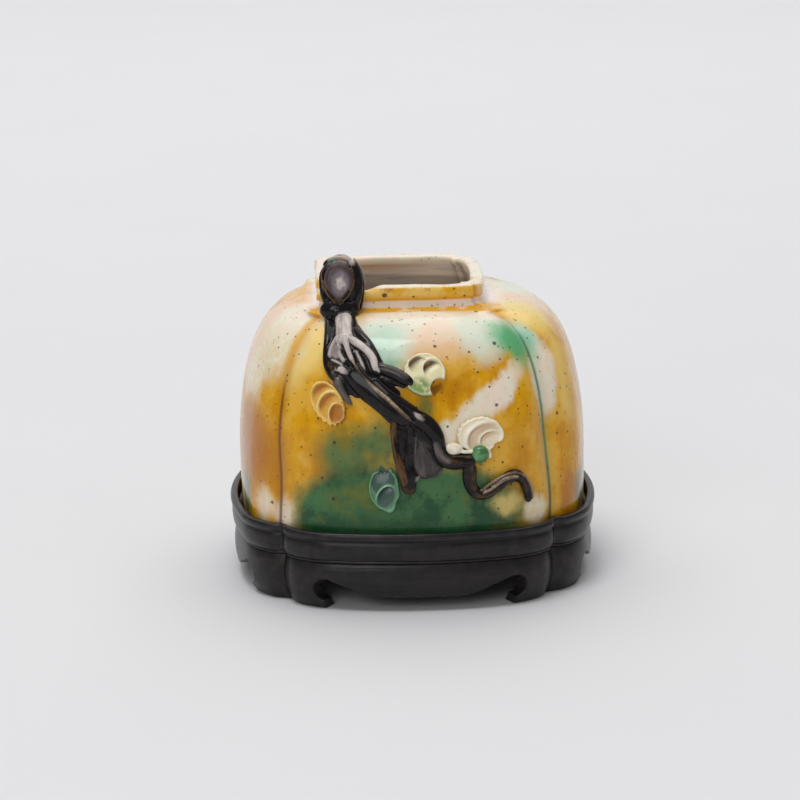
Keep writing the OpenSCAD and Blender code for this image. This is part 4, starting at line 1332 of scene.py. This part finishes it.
class COUPE_OT_branch(bpy.types.Operator):
    """Lays the branch's coils on the vessel and lutes them into one skin"""

    bl_idname = "coupe.branch"
    bl_label = "Branch"

    def execute(self, context):
        bm = bmesh.new()
        strokes, sheens = lay_coils(bm)
        bm = remeshed(bm, context.scene.coupe_sizes.clay_grain / MM, BRANCH_SMOOTHING)
        spots = np.array([v.co for v in bm.verts])
        found = {shade: coil_gaps(spots, rows) for shade, rows in strokes.items()}
        layers = branch_layers(spots, found, sheens)
        calm = np.maximum(BUD_CALM * layers["bud"], PALE_CALM * np.maximum(layers["lilac"], layers["tan"]))
        layers["grain"] = raise_grain(bm, found, calm)
        glaze = branch_finish(context.scene.glaze_colours)
        piece = finish_piece("branch_coils", bm, glaze, "coupe", BRANCH_NODES)
        for name, values in layers.items():
            write_attribute(piece, name, values)
        mark_ridges(piece, BRANCH_RIDGES)
        return {"FINISHED"}


# The sprigs

# Each sprig: its node, slot, place (across, down), half sizes, lean in degrees, height of its rim, least glaze
# pooled and shade painted in a scoop, colours (body, hollows with painted shade, stain, lips with painted
# highlight), stain place (u, v, radius), scoops (u, v, half along, half across, opening in degrees, depth), bites
# (u, v, radius, floor), tips (degrees, reach, power) and nicks (degrees, spread, depth, count); u and v are shares
# of the half sizes, v upwards
SPRIGS = (
    {
        "name": "sprig_amber", "slot": "amber_glaze",
        "at": (-2.9, 20.4), "half": (3.3, 5.0), "lean": 22, "rim": 0.15, "fill": 0.35,
        "colours": ((230, 186, 84), (190, 124, 56), (176, 110, 40), (252, 226, 140)),
        "stain": (0.4, -0.7, 0.6),
        "scoops": (
            (0.0, 0.42, 0.50, 0.88, -80, 1.3), (0.08, -0.12, 0.50, 0.78, -70, 1.4),
            (0.26, -0.60, 0.42, 0.58, -50, 1.4),
        ),
        "bites": (), "tips": (), "nicks": (-120, 66, 0.13, 17),
    },
    {
        "name": "sprig_upper", "slot": "cream_glaze",
        "at": (17.8, 13.9), "half": (4.6, 4.6), "lean": 0, "rim": 0.25, "fill": 0.0,
        "colours": ((232, 222, 178), (116, 94, 62), (132, 160, 92), (250, 244, 216)),
        "stain": (-0.28, -0.72, 0.55),
        "scoops": ((-0.24, 0.36, 0.52, 0.46, -48, 1.1), (0.40, 0.20, 0.46, 0.44, -50, 1.8)),
        "bites": ((0.72, -0.66, 0.46, -0.6),), "tips": (), "nicks": (180, 60, 0.05, 17),
    },
    {
        "name": "sprig_lower", "slot": "cream_glaze",
        "at": (29.6, 27.4), "half": (4.95, 3.9), "lean": 0, "rim": 0.2, "fill": 0.0,
        "colours": ((240, 226, 196), (226, 200, 166), (150, 190, 140), (252, 246, 228)),
        "stain": (0.1, -1.0, 0.3),
        "scoops": ((0.36, -0.28, 0.90, 0.94, -40, 1.5), (0.52, -0.36, 0.50, 0.52, -40, 1.8)),
        "bites": ((0.92, -0.80, 0.36, -0.6),), "tips": ((-12, 0.10, 14),), "nicks": (125, 80, 0.05, 19),
    },
    {
        "name": "sprig_green", "slot": "green_glaze",
        "at": (8.7, 38.6), "half": (3.25, 4.75), "lean": 0, "rim": 0.4, "fill": 0.6,
        "colours": ((84, 128, 96), (62, 84, 78), (60, 100, 74), (156, 210, 162)),
        "stain": (0.0, 0.0, 0.4),
        "scoops": ((-0.05, 0.34, 0.66, 0.82, -80, 1.2), (0.14, -0.40, 0.46, 0.64, -60, 1.3)),
        "bites": ((0.02, 1.06, 0.40, 0.2),),
        "tips": ((-66, 0.30, 16), (-20, 0.10, 40), (118, 0.05, 60)), "nicks": (90, 50, 0.16, 9),
    },
)


# What each point of a sprig knows: pooled glaze and painted shade in the hollows, nearness to the stain, the dark
# foot and bites with painted shadow, and the lip with its painted highlight
SPRIG_LAYERS = ("pool", "stain", "edge", "lip")


def sprig_finish(name, swatches, colours):
    """Glaze of a sprig, darker in its hollows, partly pooled glaze and partly painted shade, with painted shadow at
    its foot and bites and painted highlights on its lips, and stained at one side.
    """
    body, shaded_hollow, stain, light = (srgb(*s) for s in swatches)
    f = Finish(name + "_glaze")
    pool, near, edge, lip = (f.attribute(layer) for layer in SPRIG_LAYERS)
    clouds = f.noise(1.8, 3.0, 0.6)
    fine = f.noise(0.5, 3.0, 0.6)
    specks = f.cells(1.6).between(0.12, 0.06) * f.chance(1.6, 0.6, 0.05, 1)
    colour = f.layered(
        body,
        (near * clouds.between(0.25, 0.5), stain),
        # Painted shade as well as pooled glaze: the hollows darken towards their deep walls
        ((pool + (clouds - 0.5) * 0.2).between(0.12, 0.65) * 0.95, shaded_hollow),
        # Painted highlight as well as bare glaze: the raised lips are lighter
        (lip * 0.9, light),
        (specks * 0.8, colours.speck),
        # Partly pooled glaze and partly painted shadow: the foot round the sprig and the floor of its bites are
        # darkened
        (edge * 0.75, f.mix(0.5, shaded_hollow, colours.speck)),
    )
    look = {
        "Base Color": colour,
        "Roughness": 0.25 + (fine - 0.5) * 0.15,
        "Coat Weight": 0.1,
        "Coat Roughness": 0.1,
        "Specular IOR Level": 0.4,
    }
    return f.surface(look, fine, depth=0.06, strength=0.5)


# A sprig's mesh: points round it, rings from its edge to its middle, and how they crowd at the edge
SPRIG_SIDES, SPRIG_RINGS, SPRIG_CROWD = 132, 36, 1.3
# How deep a sprig's foot is sunk, and how far that dark foot, partly pooled glaze and partly a painted shadow round
# the sprig, spreads, as a share of its half size
SUNK, SKIRT = 0.6, 0.06
# Height of a sprig's middle over its edge, and unevenness of its outline
DOME, UNEVEN = 0.55, 0.03
# Where a sprig's edge is worn, its rim stands and that rim's lip is pale, partly bare and partly a painted
# highlight, as shares of its half size
WORN_R, RIM_R, RIM_SPREAD, LIP_R, LIP_SPREAD = 0.9, 0.92, 0.06, 0.93, 0.05
# Height of the clay pushed up beside a scoop, and where it stands and how far it spreads in shares of the scoop
PUSHED, PUSHED_R, PUSHED_SPREAD = 0.2, 1.1, 0.1


def scooped(u, v, base, scoops, fill):
    """Height, pooled glaze with painted shade, and lip where a thumbnail has scooped the clay, each scoop cut over
    the ones before.
    """
    level, pool, lip = base, 0.0, 0.0
    for cu, cv, along, across, opening, depth in scoops:
        c, s = math.cos(math.radians(opening)), math.sin(math.radians(opening))
        p, q = ((u - cu) * c + (v - cv) * s) / along, ((v - cv) * c - (u - cu) * s) / across
        reach = math.hypot(p, q)
        inside = smoothstep(1.03, 0.88, reach)
        slope = (0.5 - 0.5 * min(max(p, -1), 1)) ** 2
        level += (base - depth * slope - level) * inside
        pool += (max(slope, fill) - pool) * inside
        raised = max(0, -p) * bell(reach - PUSHED_R, PUSHED_SPREAD)
        level += PUSHED * raised
        lip = max(lip * (1 - inside), raised)
    return level, pool, lip


def outline_swell(row, turn):
    """How far a sprig's outline is nicked, drawn out to tips and left uneven at a turn."""
    at, spread, deep, count = row["nicks"]
    away = abs((math.degrees(turn) - at + 180) % 360 - 180)
    swell = -deep * smoothstep(spread, spread * 0.5, away) * (0.5 + 0.5 * math.cos(count * turn))
    for at, out, power in row["tips"]:
        swell += out * max(0, math.cos(turn - math.radians(at))) ** power
    return swell + UNEVEN * noise.noise(Vector((3 * math.cos(turn), 3 * math.sin(turn), row["half"][0])))


def pressed_disc(bm):
    """A disc of rings drawn in from its edge, with a wall of two rings below it."""
    bmesh.ops.create_circle(bm, segments=SPRIG_SIDES, radius=1)
    ring = bm.edges[:]
    low, _ = extrude_ring(bm, ring, Matrix.Translation((0, 0, -0.5)))
    extrude_ring(bm, low, Matrix.Translation((0, 0, -0.5)))
    reach = 1.0
    for i in range(1, SPRIG_RINGS):
        after = 1 - (i / SPRIG_RINGS) ** SPRIG_CROWD
        ring, _ = extrude_ring(bm, ring, Matrix.Diagonal((after / reach, after / reach, 1, 1)))
        reach = after
    bmesh.ops.contextual_create(bm, geom=ring)


def press_sprig(row, edge):
    """A pressed disc of clay, scooped, nicked and laid on the front."""
    bm = bmesh.new()
    layers = [bm.verts.layers.float.new(name) for name in SPRIG_LAYERS]
    pressed_disc(bm)
    lean = Matrix.Rotation(math.radians(row["lean"]), 2)
    across, down = row["at"]
    for v in bm.verts:
        r, turn = math.hypot(v.co.x, v.co.y), math.atan2(v.co.y, v.co.x)
        sunk = -v.co.z
        swell = outline_swell(row, turn) * r**3
        u, w = (1 + swell) * v.co.x, (1 + swell) * v.co.y
        worn = math.sqrt(max(0, 1 - max(0, (r - WORN_R) / (1 - WORN_R)) ** 2))
        base = edge * (0.6 + 0.4 * worn) + DOME * (1 - r**2) + row["rim"] * bell(r - RIM_R, RIM_SPREAD)
        height, pool, lip = scooped(u, w, base, row["scoops"], row["fill"])
        rim = smoothstep(0.84, 0.96, r)
        height += (base - height) * rim
        pool *= 1 - rim
        # The rim's lip takes the pale colour, partly a painted highlight
        lip = max(lip, 0.45 * bell(r - LIP_R, LIP_SPREAD))
        # The sunk foot and the bites are marked for painted shadow as well as pooled glaze
        dark = 1.0 if sunk > 0.3 else 0.0
        for bu, bw, br, floor in row["bites"]:
            gone = smoothstep(1.0, 0.88, math.hypot(u - bu, w - bw) / br)
            height += (floor - height) * gone
            dark = max(dark, gone)
        height = max(height, -SUNK) * (1 - sunk) - SUNK * sunk
        su, sw, sr = row["stain"]
        stain = smoothstep(1.3, 0.7, math.hypot(u - su, w - sw) / sr)
        for layer, value in zip(layers, (pool, stain, dark, lip * (1 - dark))):
            v[layer] = value
        u, w = u * (1 + SKIRT * sunk), w * (1 + SKIRT * sunk)
        side, up = lean @ Vector((row["half"][0] * u, row["half"][1] * w))
        v.co = on_front(STUMP_X + across + side, STUMP_DOWN + down - up, height)
    bmesh.ops.recalc_face_normals(bm, faces=bm.faces)
    return bm


class COUPE_OT_sprigs(bpy.types.Operator):
    """Presses the four sprigs and lays them on the vessel's front"""

    bl_idname = "coupe.sprigs"
    bl_label = "Sprigs"

    def execute(self, context):
        edge = context.scene.coupe_sizes.sprig_edge / MM
        for row in SPRIGS:
            name = row["name"].replace("sprig", "pressed")
            finish = sprig_finish(name, row["colours"], context.scene.glaze_colours)
            finish_piece(name, press_sprig(row, edge), finish, "coupe", (row["name"],))
        return {"FINISHED"}


# Small coils of the bud with its stem and prongs, and of the bead's spike and drips: height as a share of the
# half width, lift and drawn points, as above
BUD_COILS = (
    (0.9, 0.8, ((22.0, 30.1, 0.8), (23.9, 30.2, 1.4), (25.9, 30.4, 0.75))),
    (0.9, 1.3, ((25.3, 30.8, 0.45), (26.8, 30.9, 0.42), (28.4, 30.9, 0.5))),
    (0.9, 1.0, ((30.8, 30.1, 0.42), (31.6, 31.4, 0.45), (31.7, 32.8, 0.38))),
)
BEAD_COILS = (
    (1.0, 0.9, ((29.3, 32.4, 0.6), (29.6, 33.4, 0.5), (29.7, 34.2, 0.4))),
    (1.0, 0.9, ((30.2, 32.2, 0.55), (30.5, 33.1, 0.5), (30.6, 33.6, 0.4))),
    (1.0, 1.5, ((29.4, 30.6, 0.5), (29.5, 29.8, 0.36), (29.5, 29.3, 0.25))),
)


# Middle of the bead (across, down, out) and its half sizes
BEAD_AT, BEAD_HALF = (29.5, 31.5, 1.3), (1.95, 1.75, 1.95)
# Step along the small coils, size of the grain that joins them and rounds of smoothing
FINE_STEP, FINE_GRAIN = 0.25, 0.12
BUD_SMOOTHING, BEAD_SMOOTHING = 3, 7


def lute_small(bm, rows, rounds):
    """Sweeps small coils and joins them into one skin."""
    for flat, lift, points in rows:
        sweep_coil(bm, laid_path(points, lift, FINE_STEP), flat)
    return remeshed(bm, FINE_GRAIN, rounds)


class COUPE_OT_bud(bpy.types.Operator):
    """Models the white bud on its stem and the green bead with its drip"""

    bl_idname = "coupe.bud"
    bl_label = "Bud and bead"

    def execute(self, context):
        bm = lute_small(bmesh.new(), BUD_COILS, BUD_SMOOTHING)
        f = Finish("bud_glaze")
        clouds = f.noise(1.4, 3.0, 0.6)
        colour = f.layered(
            srgb(246, 238, 222),
            (clouds.between(0.4, 0.65), srgb(226, 212, 184)),
            (f.cells(1.3).between(0.14, 0.06) * 0.5, context.scene.glaze_colours.speck),
        )
        look = {"Base Color": colour, "Roughness": 0.28, "Specular IOR Level": 0.4}
        white = f.surface(look, clouds, depth=0.03, strength=0.3)
        finish_piece("white_bud", bm, white, "coupe", ("bud",))

        bm = bmesh.new()
        across, down, out = BEAD_AT
        egg(bm, on_front(STUMP_X + across, STUMP_DOWN + down, out), BEAD_HALF)
        bm = lute_small(bm, BEAD_COILS, BEAD_SMOOTHING)
        f = Finish("bead_glaze")
        clouds = f.noise(2.6, 1.0, 0.5)
        colour = f.mix(clouds.between(0.36, 0.64), srgb(104, 160, 104), srgb(64, 112, 62))
        green = f.surface({"Base Color": colour, "Roughness": 0.18, "Specular IOR Level": 0.5})
        finish_piece("green_bead", bm, green, "coupe", ("calyx_bead",))
        return {"FINISHED"}


# The stand


def wood_finish(colours):
    """Dark satin wood with fine grain, reddish where the finish is worn."""
    f = Finish("satin_wood")
    x, y = (f.part(f.place, axis) for axis in range(2))
    grain = f.noise(1.1, 4.0, 0.65, f.stretched((0.12, 0.12, 1.6)))
    pores = f.noise(0.5, 2.0, 0.6, f.stretched((0.10, 0.10, 1.0)))
    clouds = f.noise(11.0, 3.0, 0.6)
    corner = abs(abs(x) - abs(y)).between(4.0, 0.3)
    edge = f.attribute("ridge").between(0.2, 0.8)
    wear = (corner * 0.5 + edge * 0.6) * f.noise(2.5, 3.0, 0.6).between(0.42, 0.62)
    dust = f.cells(1.9).between(0.05, 0.02) * f.chance(1.9, 0.8, 0.02)
    colour = f.layered(
        colours.wood,
        (grain.between(0.42, 0.66), colours.grain),
        (clouds.between(0.45, 0.7) * 0.25, srgb(46, 40, 38)),
        (wear * 0.6, colours.worn),
        (dust * 0.7, srgb(150, 146, 142)),
    )
    look = {
        "Base Color": colour,
        "Roughness": 0.33 + (clouds - 0.5) * 0.15 + (grain - 0.5) * 0.1,
        "Specular IOR Level": 0.32,
    }
    return f.surface(look, grain + pores * 0.5, depth=0.12, strength=0.45)


# Profile of the tray, in from its half width: the foot up from its underside, a rolled moulding, and, down from
# its top, the cove under the rim, the rim and the recess
TRAY_SIDES = 72
TRAY_FOOT = ((3.4, 0), (1.5, 0), (1.28, 0.06), (1.2, 0.25), (1.2, 0.5), (1.32, 0.62), (1.34, 0.72))
ROLL_IN, ROLL_OUT, ROLL_Z = 1.25, 0.95, (TRAY_LOW.z + 0.78, RIM_Z - 2.25)
ROLL_TURNS = np.radians(np.linspace(-68, 48, 15))
TRAY_COVE = ((0.64, 2.1), (0.6, 1.95), (0.46, 1.82))
RIM_OUT, RIM_RISE, RIM_FALL = 0.62, 0.85, 1.05
RIM_TURNS = np.radians(np.linspace(-58, 90, 13))
TRAY_RECESS = (
    (1.35, 0), (1.6, 0.08), (1.7, 0.3), (1.7, 1.4), (1.7, 3.0), (1.9, 3.2), (4.7, 3.2), ((TRAY_HALF + 1.7) / 2, 3.2),
)
# Reach of the notch at the stand's corner grooves, what faces count as outer ones, and rounds that find the ridges
STAND_NOTCH_REACH = 1.5
OUTER_FACING = -0.2
STAND_RIDGES = 10


def tray_levels():
    """Profile of the tray from its underside over the moulding, lip and rim into the recess."""
    rows = [(into, TRAY_LOW.z + up) for into, up in TRAY_FOOT]
    heights = np.interp(np.sin(ROLL_TURNS), np.sin(ROLL_TURNS[[0, -1]]), ROLL_Z)
    rows += [(ROLL_IN - ROLL_OUT * math.cos(turn), z) for turn, z in zip(ROLL_TURNS, heights)]
    rows += [(into, RIM_Z - down) for into, down in TRAY_COVE]
    for turn in RIM_TURNS:
        rise = RIM_RISE if turn > 0 else RIM_FALL
        rows.append((RIM_OUT - RIM_OUT * math.cos(turn), RIM_Z - RIM_RISE + rise * math.sin(turn)))
    rows += [(into, RIM_Z - down) for into, down in TRAY_RECESS]
    return [(TRAY_HALF - into, z, 0) for into, z in rows]


class COUPE_OT_tray(bpy.types.Operator):
    """Runs the tray's moulding round the four-lobed plan"""

    bl_idname = "coupe.tray"
    bl_label = "Tray"

    def execute(self, context):
        bm = bmesh.new()
        first, last = raise_rings(bm, lobed_ring(bm, TRAY_SIDES), tray_levels())
        bmesh.ops.contextual_create(bm, geom=first)
        bmesh.ops.contextual_create(bm, geom=last)
        bmesh.ops.recalc_face_normals(bm, faces=bm.faces)
        bm.normal_update()
        deep = context.scene.coupe_sizes.stand_notch / MM
        groove = bm.verts.layers.float["groove"]
        for v in bm.verts:
            outward = Vector((v.co.x, v.co.y, 0)).normalized()
            if v.normal.dot(outward) > OUTER_FACING:
                v.co -= outward * deep * bell(v[groove] * TRAY_HALF, STAND_NOTCH_REACH)
        drop_layers(bm, "groove", "along", "panel")
        wood = wood_finish(context.scene.stand_colours)
        piece = finish_piece("moulded_tray", bm, wood, "stand", ("tray",), sharp=55)
        mark_ridges(piece, STAND_RIDGES)
        return {"FINISHED"}


# The apron's drawing on the front side, in millimetres
FOOT_W = 8.9
DROP_HALF = 8.7
DROP_Z = 3.2
NOTCH_R = 2.6
NOTCH_Z = 4.6
NOTCH_TURN = math.radians(128)
MITRE_GAP = 0.1
TIP_CUT = 0.25
APRON_HALF = TRAY_HALF - 0.6
CORNER_X = BODY.groove * APRON_HALF - MITRE_GAP / (math.sqrt(2) * (1 + math.tan(END_TURN)))
TIP_X = BODY.groove * APRON_HALF - FOOT_W
NOTCH_X = TIP_X - 0.6
ARCH_Z = NOTCH_Z + 0.8 * NOTCH_R
# How far the apron's face is drawn in at the waist and at the foot, each with the power of its curve
WAIST_IN, WAIST_POWER = 0.9, 5
FEET_IN, FEET_POWER = 2.2, 3.5
# Points of the notch's arc and of the rise to it, and columns and rows that the apron is cut in to be bent
ARC_POINTS, RISE_POINTS, APRON_COLUMNS, APRON_ROWS = 25, 15, 96, 16


def apron_drawing():
    """Outline of the right half of an apron, from the middle of its top edge round to the middle drop."""
    points = [(0, APRON_H), (CORNER_X, APRON_H), (CORNER_X, 0), (TIP_X + TIP_CUT, 0), (TIP_X, TIP_CUT)]
    rise = []
    for share in np.linspace(1, 0, RISE_POINTS):
        x, z = DROP_HALF + (NOTCH_X - DROP_HALF) * share, DROP_Z + (ARCH_Z - DROP_Z) * smoothstep(0, 1, share)
        if math.hypot(x - NOTCH_X, z - NOTCH_Z) > NOTCH_R * 1.02:
            rise.append((x, z))
    arc = []
    for turn in np.linspace(-math.acos((TIP_X - NOTCH_X) / NOTCH_R), NOTCH_TURN, ARC_POINTS):
        x, z = NOTCH_X + NOTCH_R * math.cos(turn), NOTCH_Z + NOTCH_R * math.sin(turn)
        if x > rise[0][0] + 0.1 or z < NOTCH_Z:
            arc.append((x, z))
    return points + arc + rise + [(0, DROP_Z)]


def apron_face(z):
    """Half width of the apron's outer face at a height: drawn in at the waist and at the foot."""
    return APRON_HALF - WAIST_IN * (z / APRON_H) ** WAIST_POWER - FEET_IN * (1 - z / APRON_H) ** FEET_POWER


def carve_apron(thickness, wear, notch):
    """An apron cut from its drawing, its edges worn round, then bent to the plan."""
    half = apron_drawing()
    outline = half + [(-x, z) for x, z in reversed(half[1:-1])]
    bm = bmesh.new()
    face = bm.faces.new([bm.verts.new((x, 0, z)) for x, z in outline])
    made = bmesh.ops.extrude_face_region(bm, geom=[face])["geom"]
    bmesh.ops.translate(bm, vec=(0, thickness, 0), verts=[g for g in made if isinstance(g, bmesh.types.BMVert)])
    bmesh.ops.recalc_face_normals(bm, faces=bm.faces)
    rims = [e for e in bm.edges if all(v.co.y < thickness / 2 for v in e.verts)]
    bmesh.ops.bevel(
        bm, geom=rims, offset=wear, offset_type="OFFSET", affect="EDGES", segments=3, profile=0.5,
        material=-1, clamp_overlap=True,
    )
    columns = [BODY.at(2 * i / APRON_COLUMNS - 1).x * APRON_HALF for i in range(1, APRON_COLUMNS)]
    cuts = [((x, 0, 0), (1, 0, 0)) for x in columns]
    cuts += [((0, 0, APRON_H * i / APRON_ROWS), (0, 0, 1)) for i in range(1, APRON_ROWS)]
    for place, way in cuts:
        geom = bm.verts[:] + bm.edges[:] + bm.faces[:]
        bmesh.ops.bisect_plane(bm, geom=geom, dist=1e-4, plane_co=place, plane_no=way)
    for v in bm.verts:
        share = v.co.x / APRON_HALF
        half = apron_face(min(max(v.co.z, 0), APRON_H)) - v.co.y
        half -= notch * bell((BODY.groove - abs(share)) * APRON_HALF, STAND_NOTCH_REACH)
        v.co = Vector((share * half, -BODY.edge(share) * half, v.co.z))
    bmesh.ops.recalc_face_normals(bm, faces=bm.faces)
    return bm


class COUPE_OT_aprons(bpy.types.Operator):
    """Cuts the four shaped aprons with their bracket feet"""

    bl_idname = "coupe.aprons"
    bl_label = "Aprons"

    def execute(self, context):
        sizes = context.scene.coupe_sizes
        wood = bpy.data.materials["satin_wood"]
        for side, name in enumerate(("front", "right", "back", "left")):
            bm = carve_apron(sizes.apron_thickness / MM, sizes.edge_wear / MM, sizes.stand_notch / MM)
            turn = Matrix.Rotation(side * math.pi / 2, 3, "Z")
            bmesh.ops.rotate(bm, cent=(0, 0, 0), matrix=turn, verts=bm.verts)
            nodes = ("apron_" + name,)
            piece = finish_piece("shaped_apron_" + name, bm, wood, "stand", nodes, sharp=35)
            mark_ridges(piece, STAND_RIDGES)
        return {"FINISHED"}


# The stage

# The camera that was fitted to the photo, in metres and pixels
CAMERA_PLACE = Vector((-0.0290, -0.6795, 0.2008))
CAMERA_AIM = Vector((0, 0, 0.035))
CAMERA_ROLL = math.radians(-0.73)
FOCAL_PIXELS = 3038
FRAME_PIXELS = 800
AIM_PIXEL = (411.09, 413.69)
SENSOR = 36
# The floor, in metres: half width, depth up to its sweep, the sweep's radius and steps, and the wall above it
FLOOR_HALF, FLOOR_DEEP, SWEEP_R, SWEEP_STEPS, WALL_H = 4, 5.4, 1.2, 24, 2.5
# The floor's tone in front and behind, and between what depths it changes, in millimetres
FLOOR_TONES, FLOOR_CHANGE = (0.945, 1.01), (60.0, 1000.0)
# Soft lamps: place, aim, size and power
LAMPS = {
    "overhead": ((0, 1.0, 2.0), (0, 1.0, 0), (3.0, 3.0), 38.0),
    "key": ((-0.35, -0.5, 2.1), (0, 0, 0.04), (0.7, 0.7), 12.0),
    "front": ((-0.6, -1.6, 0.9), (0, 0, 0.04), (1.0, 0.8), 7.4),
}
SKY_STRENGTH = 0.24


def lay_floor(scene):
    """A pale floor that sweeps up behind."""
    bm = bmesh.new()
    edge = bm.edges.new([bm.verts.new((x, -FLOOR_HALF, 0)) for x in (-FLOOR_HALF, FLOOR_HALF)])
    ring, _ = extrude_ring(bm, [edge], Matrix.Translation((0, FLOOR_DEEP, 0)))
    centre = (0, FLOOR_DEEP - FLOOR_HALF, SWEEP_R)
    swept = bmesh.ops.spin(
        bm, geom=ring, cent=centre, axis=(1, 0, 0), angle=math.pi / 2, steps=SWEEP_STEPS, use_duplicate=False
    )["geom_last"]
    top = [g for g in swept if isinstance(g, bmesh.types.BMEdge)]
    extrude_ring(bm, top, Matrix.Translation((0, 0, WALL_H)))
    bmesh.ops.remove_doubles(bm, verts=bm.verts, dist=1e-5)
    bmesh.ops.recalc_face_normals(bm, faces=bm.faces)
    for face in bm.faces:
        face.smooth = True
    mesh = bpy.data.meshes.new("studio_floor")
    bm.to_mesh(mesh)
    bm.free()
    floor = bpy.data.objects.new("studio_floor", mesh)
    scene.collection.objects.link(floor)
    f = Finish("studio_floor")
    clouds = f.noise(90.0, 2.0, 0.5)
    tones = [[share * c for c in scene.stand_colours.floor] for share in FLOOR_TONES]
    colour = f.mix(f.part(f.place, 1).between(*FLOOR_CHANGE), *tones)
    colour = f.mix(clouds.between(0.3, 0.7) * 0.01, colour, (0, 0, 0))
    mesh.materials.append(f.surface({"Base Color": colour, "Roughness": 0.75, "Specular IOR Level": 0.2}))


def light_stage(scene):
    """A white sky and the soft lamps."""
    world = bpy.data.worlds.new("studio")
    world.use_nodes = True
    sky = world.node_tree.nodes["Background"]
    sky.inputs["Color"].default_value = (1, 1, 1, 1)
    sky.inputs["Strength"].default_value = SKY_STRENGTH
    scene.world = world
    for name, (place, aim, size, power) in LAMPS.items():
        lamp = bpy.data.lights.new(name, "AREA")
        lamp.shape = "RECTANGLE"
        lamp.size, lamp.size_y = size
        lamp.energy = power
        light = bpy.data.objects.new(name, lamp)
        light.location = place
        light.rotation_euler = (Vector(aim) - Vector(place)).to_track_quat("-Z", "Y").to_euler()
        scene.collection.objects.link(light)


def place_camera(scene):
    """The camera as it stood for the photo."""
    camera = bpy.data.cameras.new("camera")
    camera.sensor_fit = "HORIZONTAL"
    camera.sensor_width = SENSOR
    camera.lens = SENSOR * FOCAL_PIXELS / FRAME_PIXELS
    camera.shift_x = (FRAME_PIXELS / 2 - AIM_PIXEL[0]) / FRAME_PIXELS
    camera.shift_y = (AIM_PIXEL[1] - FRAME_PIXELS / 2) / FRAME_PIXELS
    camera.clip_start = 0.01
    view = bpy.data.objects.new("camera", camera)
    aim = (CAMERA_AIM - CAMERA_PLACE).to_track_quat("-Z", "Y").to_matrix()
    view.matrix_world = Matrix.Translation(CAMERA_PLACE) @ (aim @ Matrix.Rotation(CAMERA_ROLL, 3, "Z")).to_4x4()
    scene.collection.objects.link(view)
    scene.camera = view


class COUPE_OT_stage(bpy.types.Operator):
    """Sets the pale floor, the soft light and the camera"""

    bl_idname = "coupe.stage"
    bl_label = "Stage"

    def execute(self, context):
        lay_floor(context.scene)
        light_stage(context.scene)
        place_camera(context.scene)
        context.scene.view_settings.view_transform = "Standard"
        return {"FINISHED"}


class COUPE_PT_panel(bpy.types.Panel):
    """Lists the steps that build the coupe and its stand"""

    bl_idname = "COUPE_PT_panel"
    bl_label = "Water coupe"
    bl_space_type = "VIEW_3D"
    bl_region_type = "UI"
    bl_category = "Coupe"

    def draw(self, context):
        layout = self.layout
        for step in STEPS:
            layout.operator(step.bl_idname)
        for group in (context.scene.coupe_sizes, context.scene.glaze_colours, context.scene.stand_colours):
            box = layout.box()
            for key in group.__annotations__:
                box.prop(group, key)


STEPS = (
    COUPE_OT_vessel, COUPE_OT_base, COUPE_OT_branch, COUPE_OT_sprigs, COUPE_OT_bud, COUPE_OT_tray, COUPE_OT_aprons,
    COUPE_OT_stage,
)
GROUPS = {"coupe_sizes": CoupeSizes, "glaze_colours": GlazeColours, "stand_colours": StandColours}


def register():
    for cls in (*GROUPS.values(), *STEPS, COUPE_PT_panel):
        bpy.utils.register_class(cls)
    for name, cls in GROUPS.items():
        setattr(bpy.types.Scene, name, PointerProperty(type=cls))


def unregister():
    for name in GROUPS:
        delattr(bpy.types.Scene, name)
    for cls in reversed((*GROUPS.values(), *STEPS, COUPE_PT_panel)):
        bpy.utils.unregister_class(cls)


def main():
    register()
    bpy.ops.coupe.vessel()
    bpy.ops.coupe.base()
    bpy.ops.coupe.branch()
    bpy.ops.coupe.sprigs()
    bpy.ops.coupe.bud()
    bpy.ops.coupe.tray()
    bpy.ops.coupe.aprons()
    bpy.ops.coupe.stage()


if __name__ == "__main__":
    main()
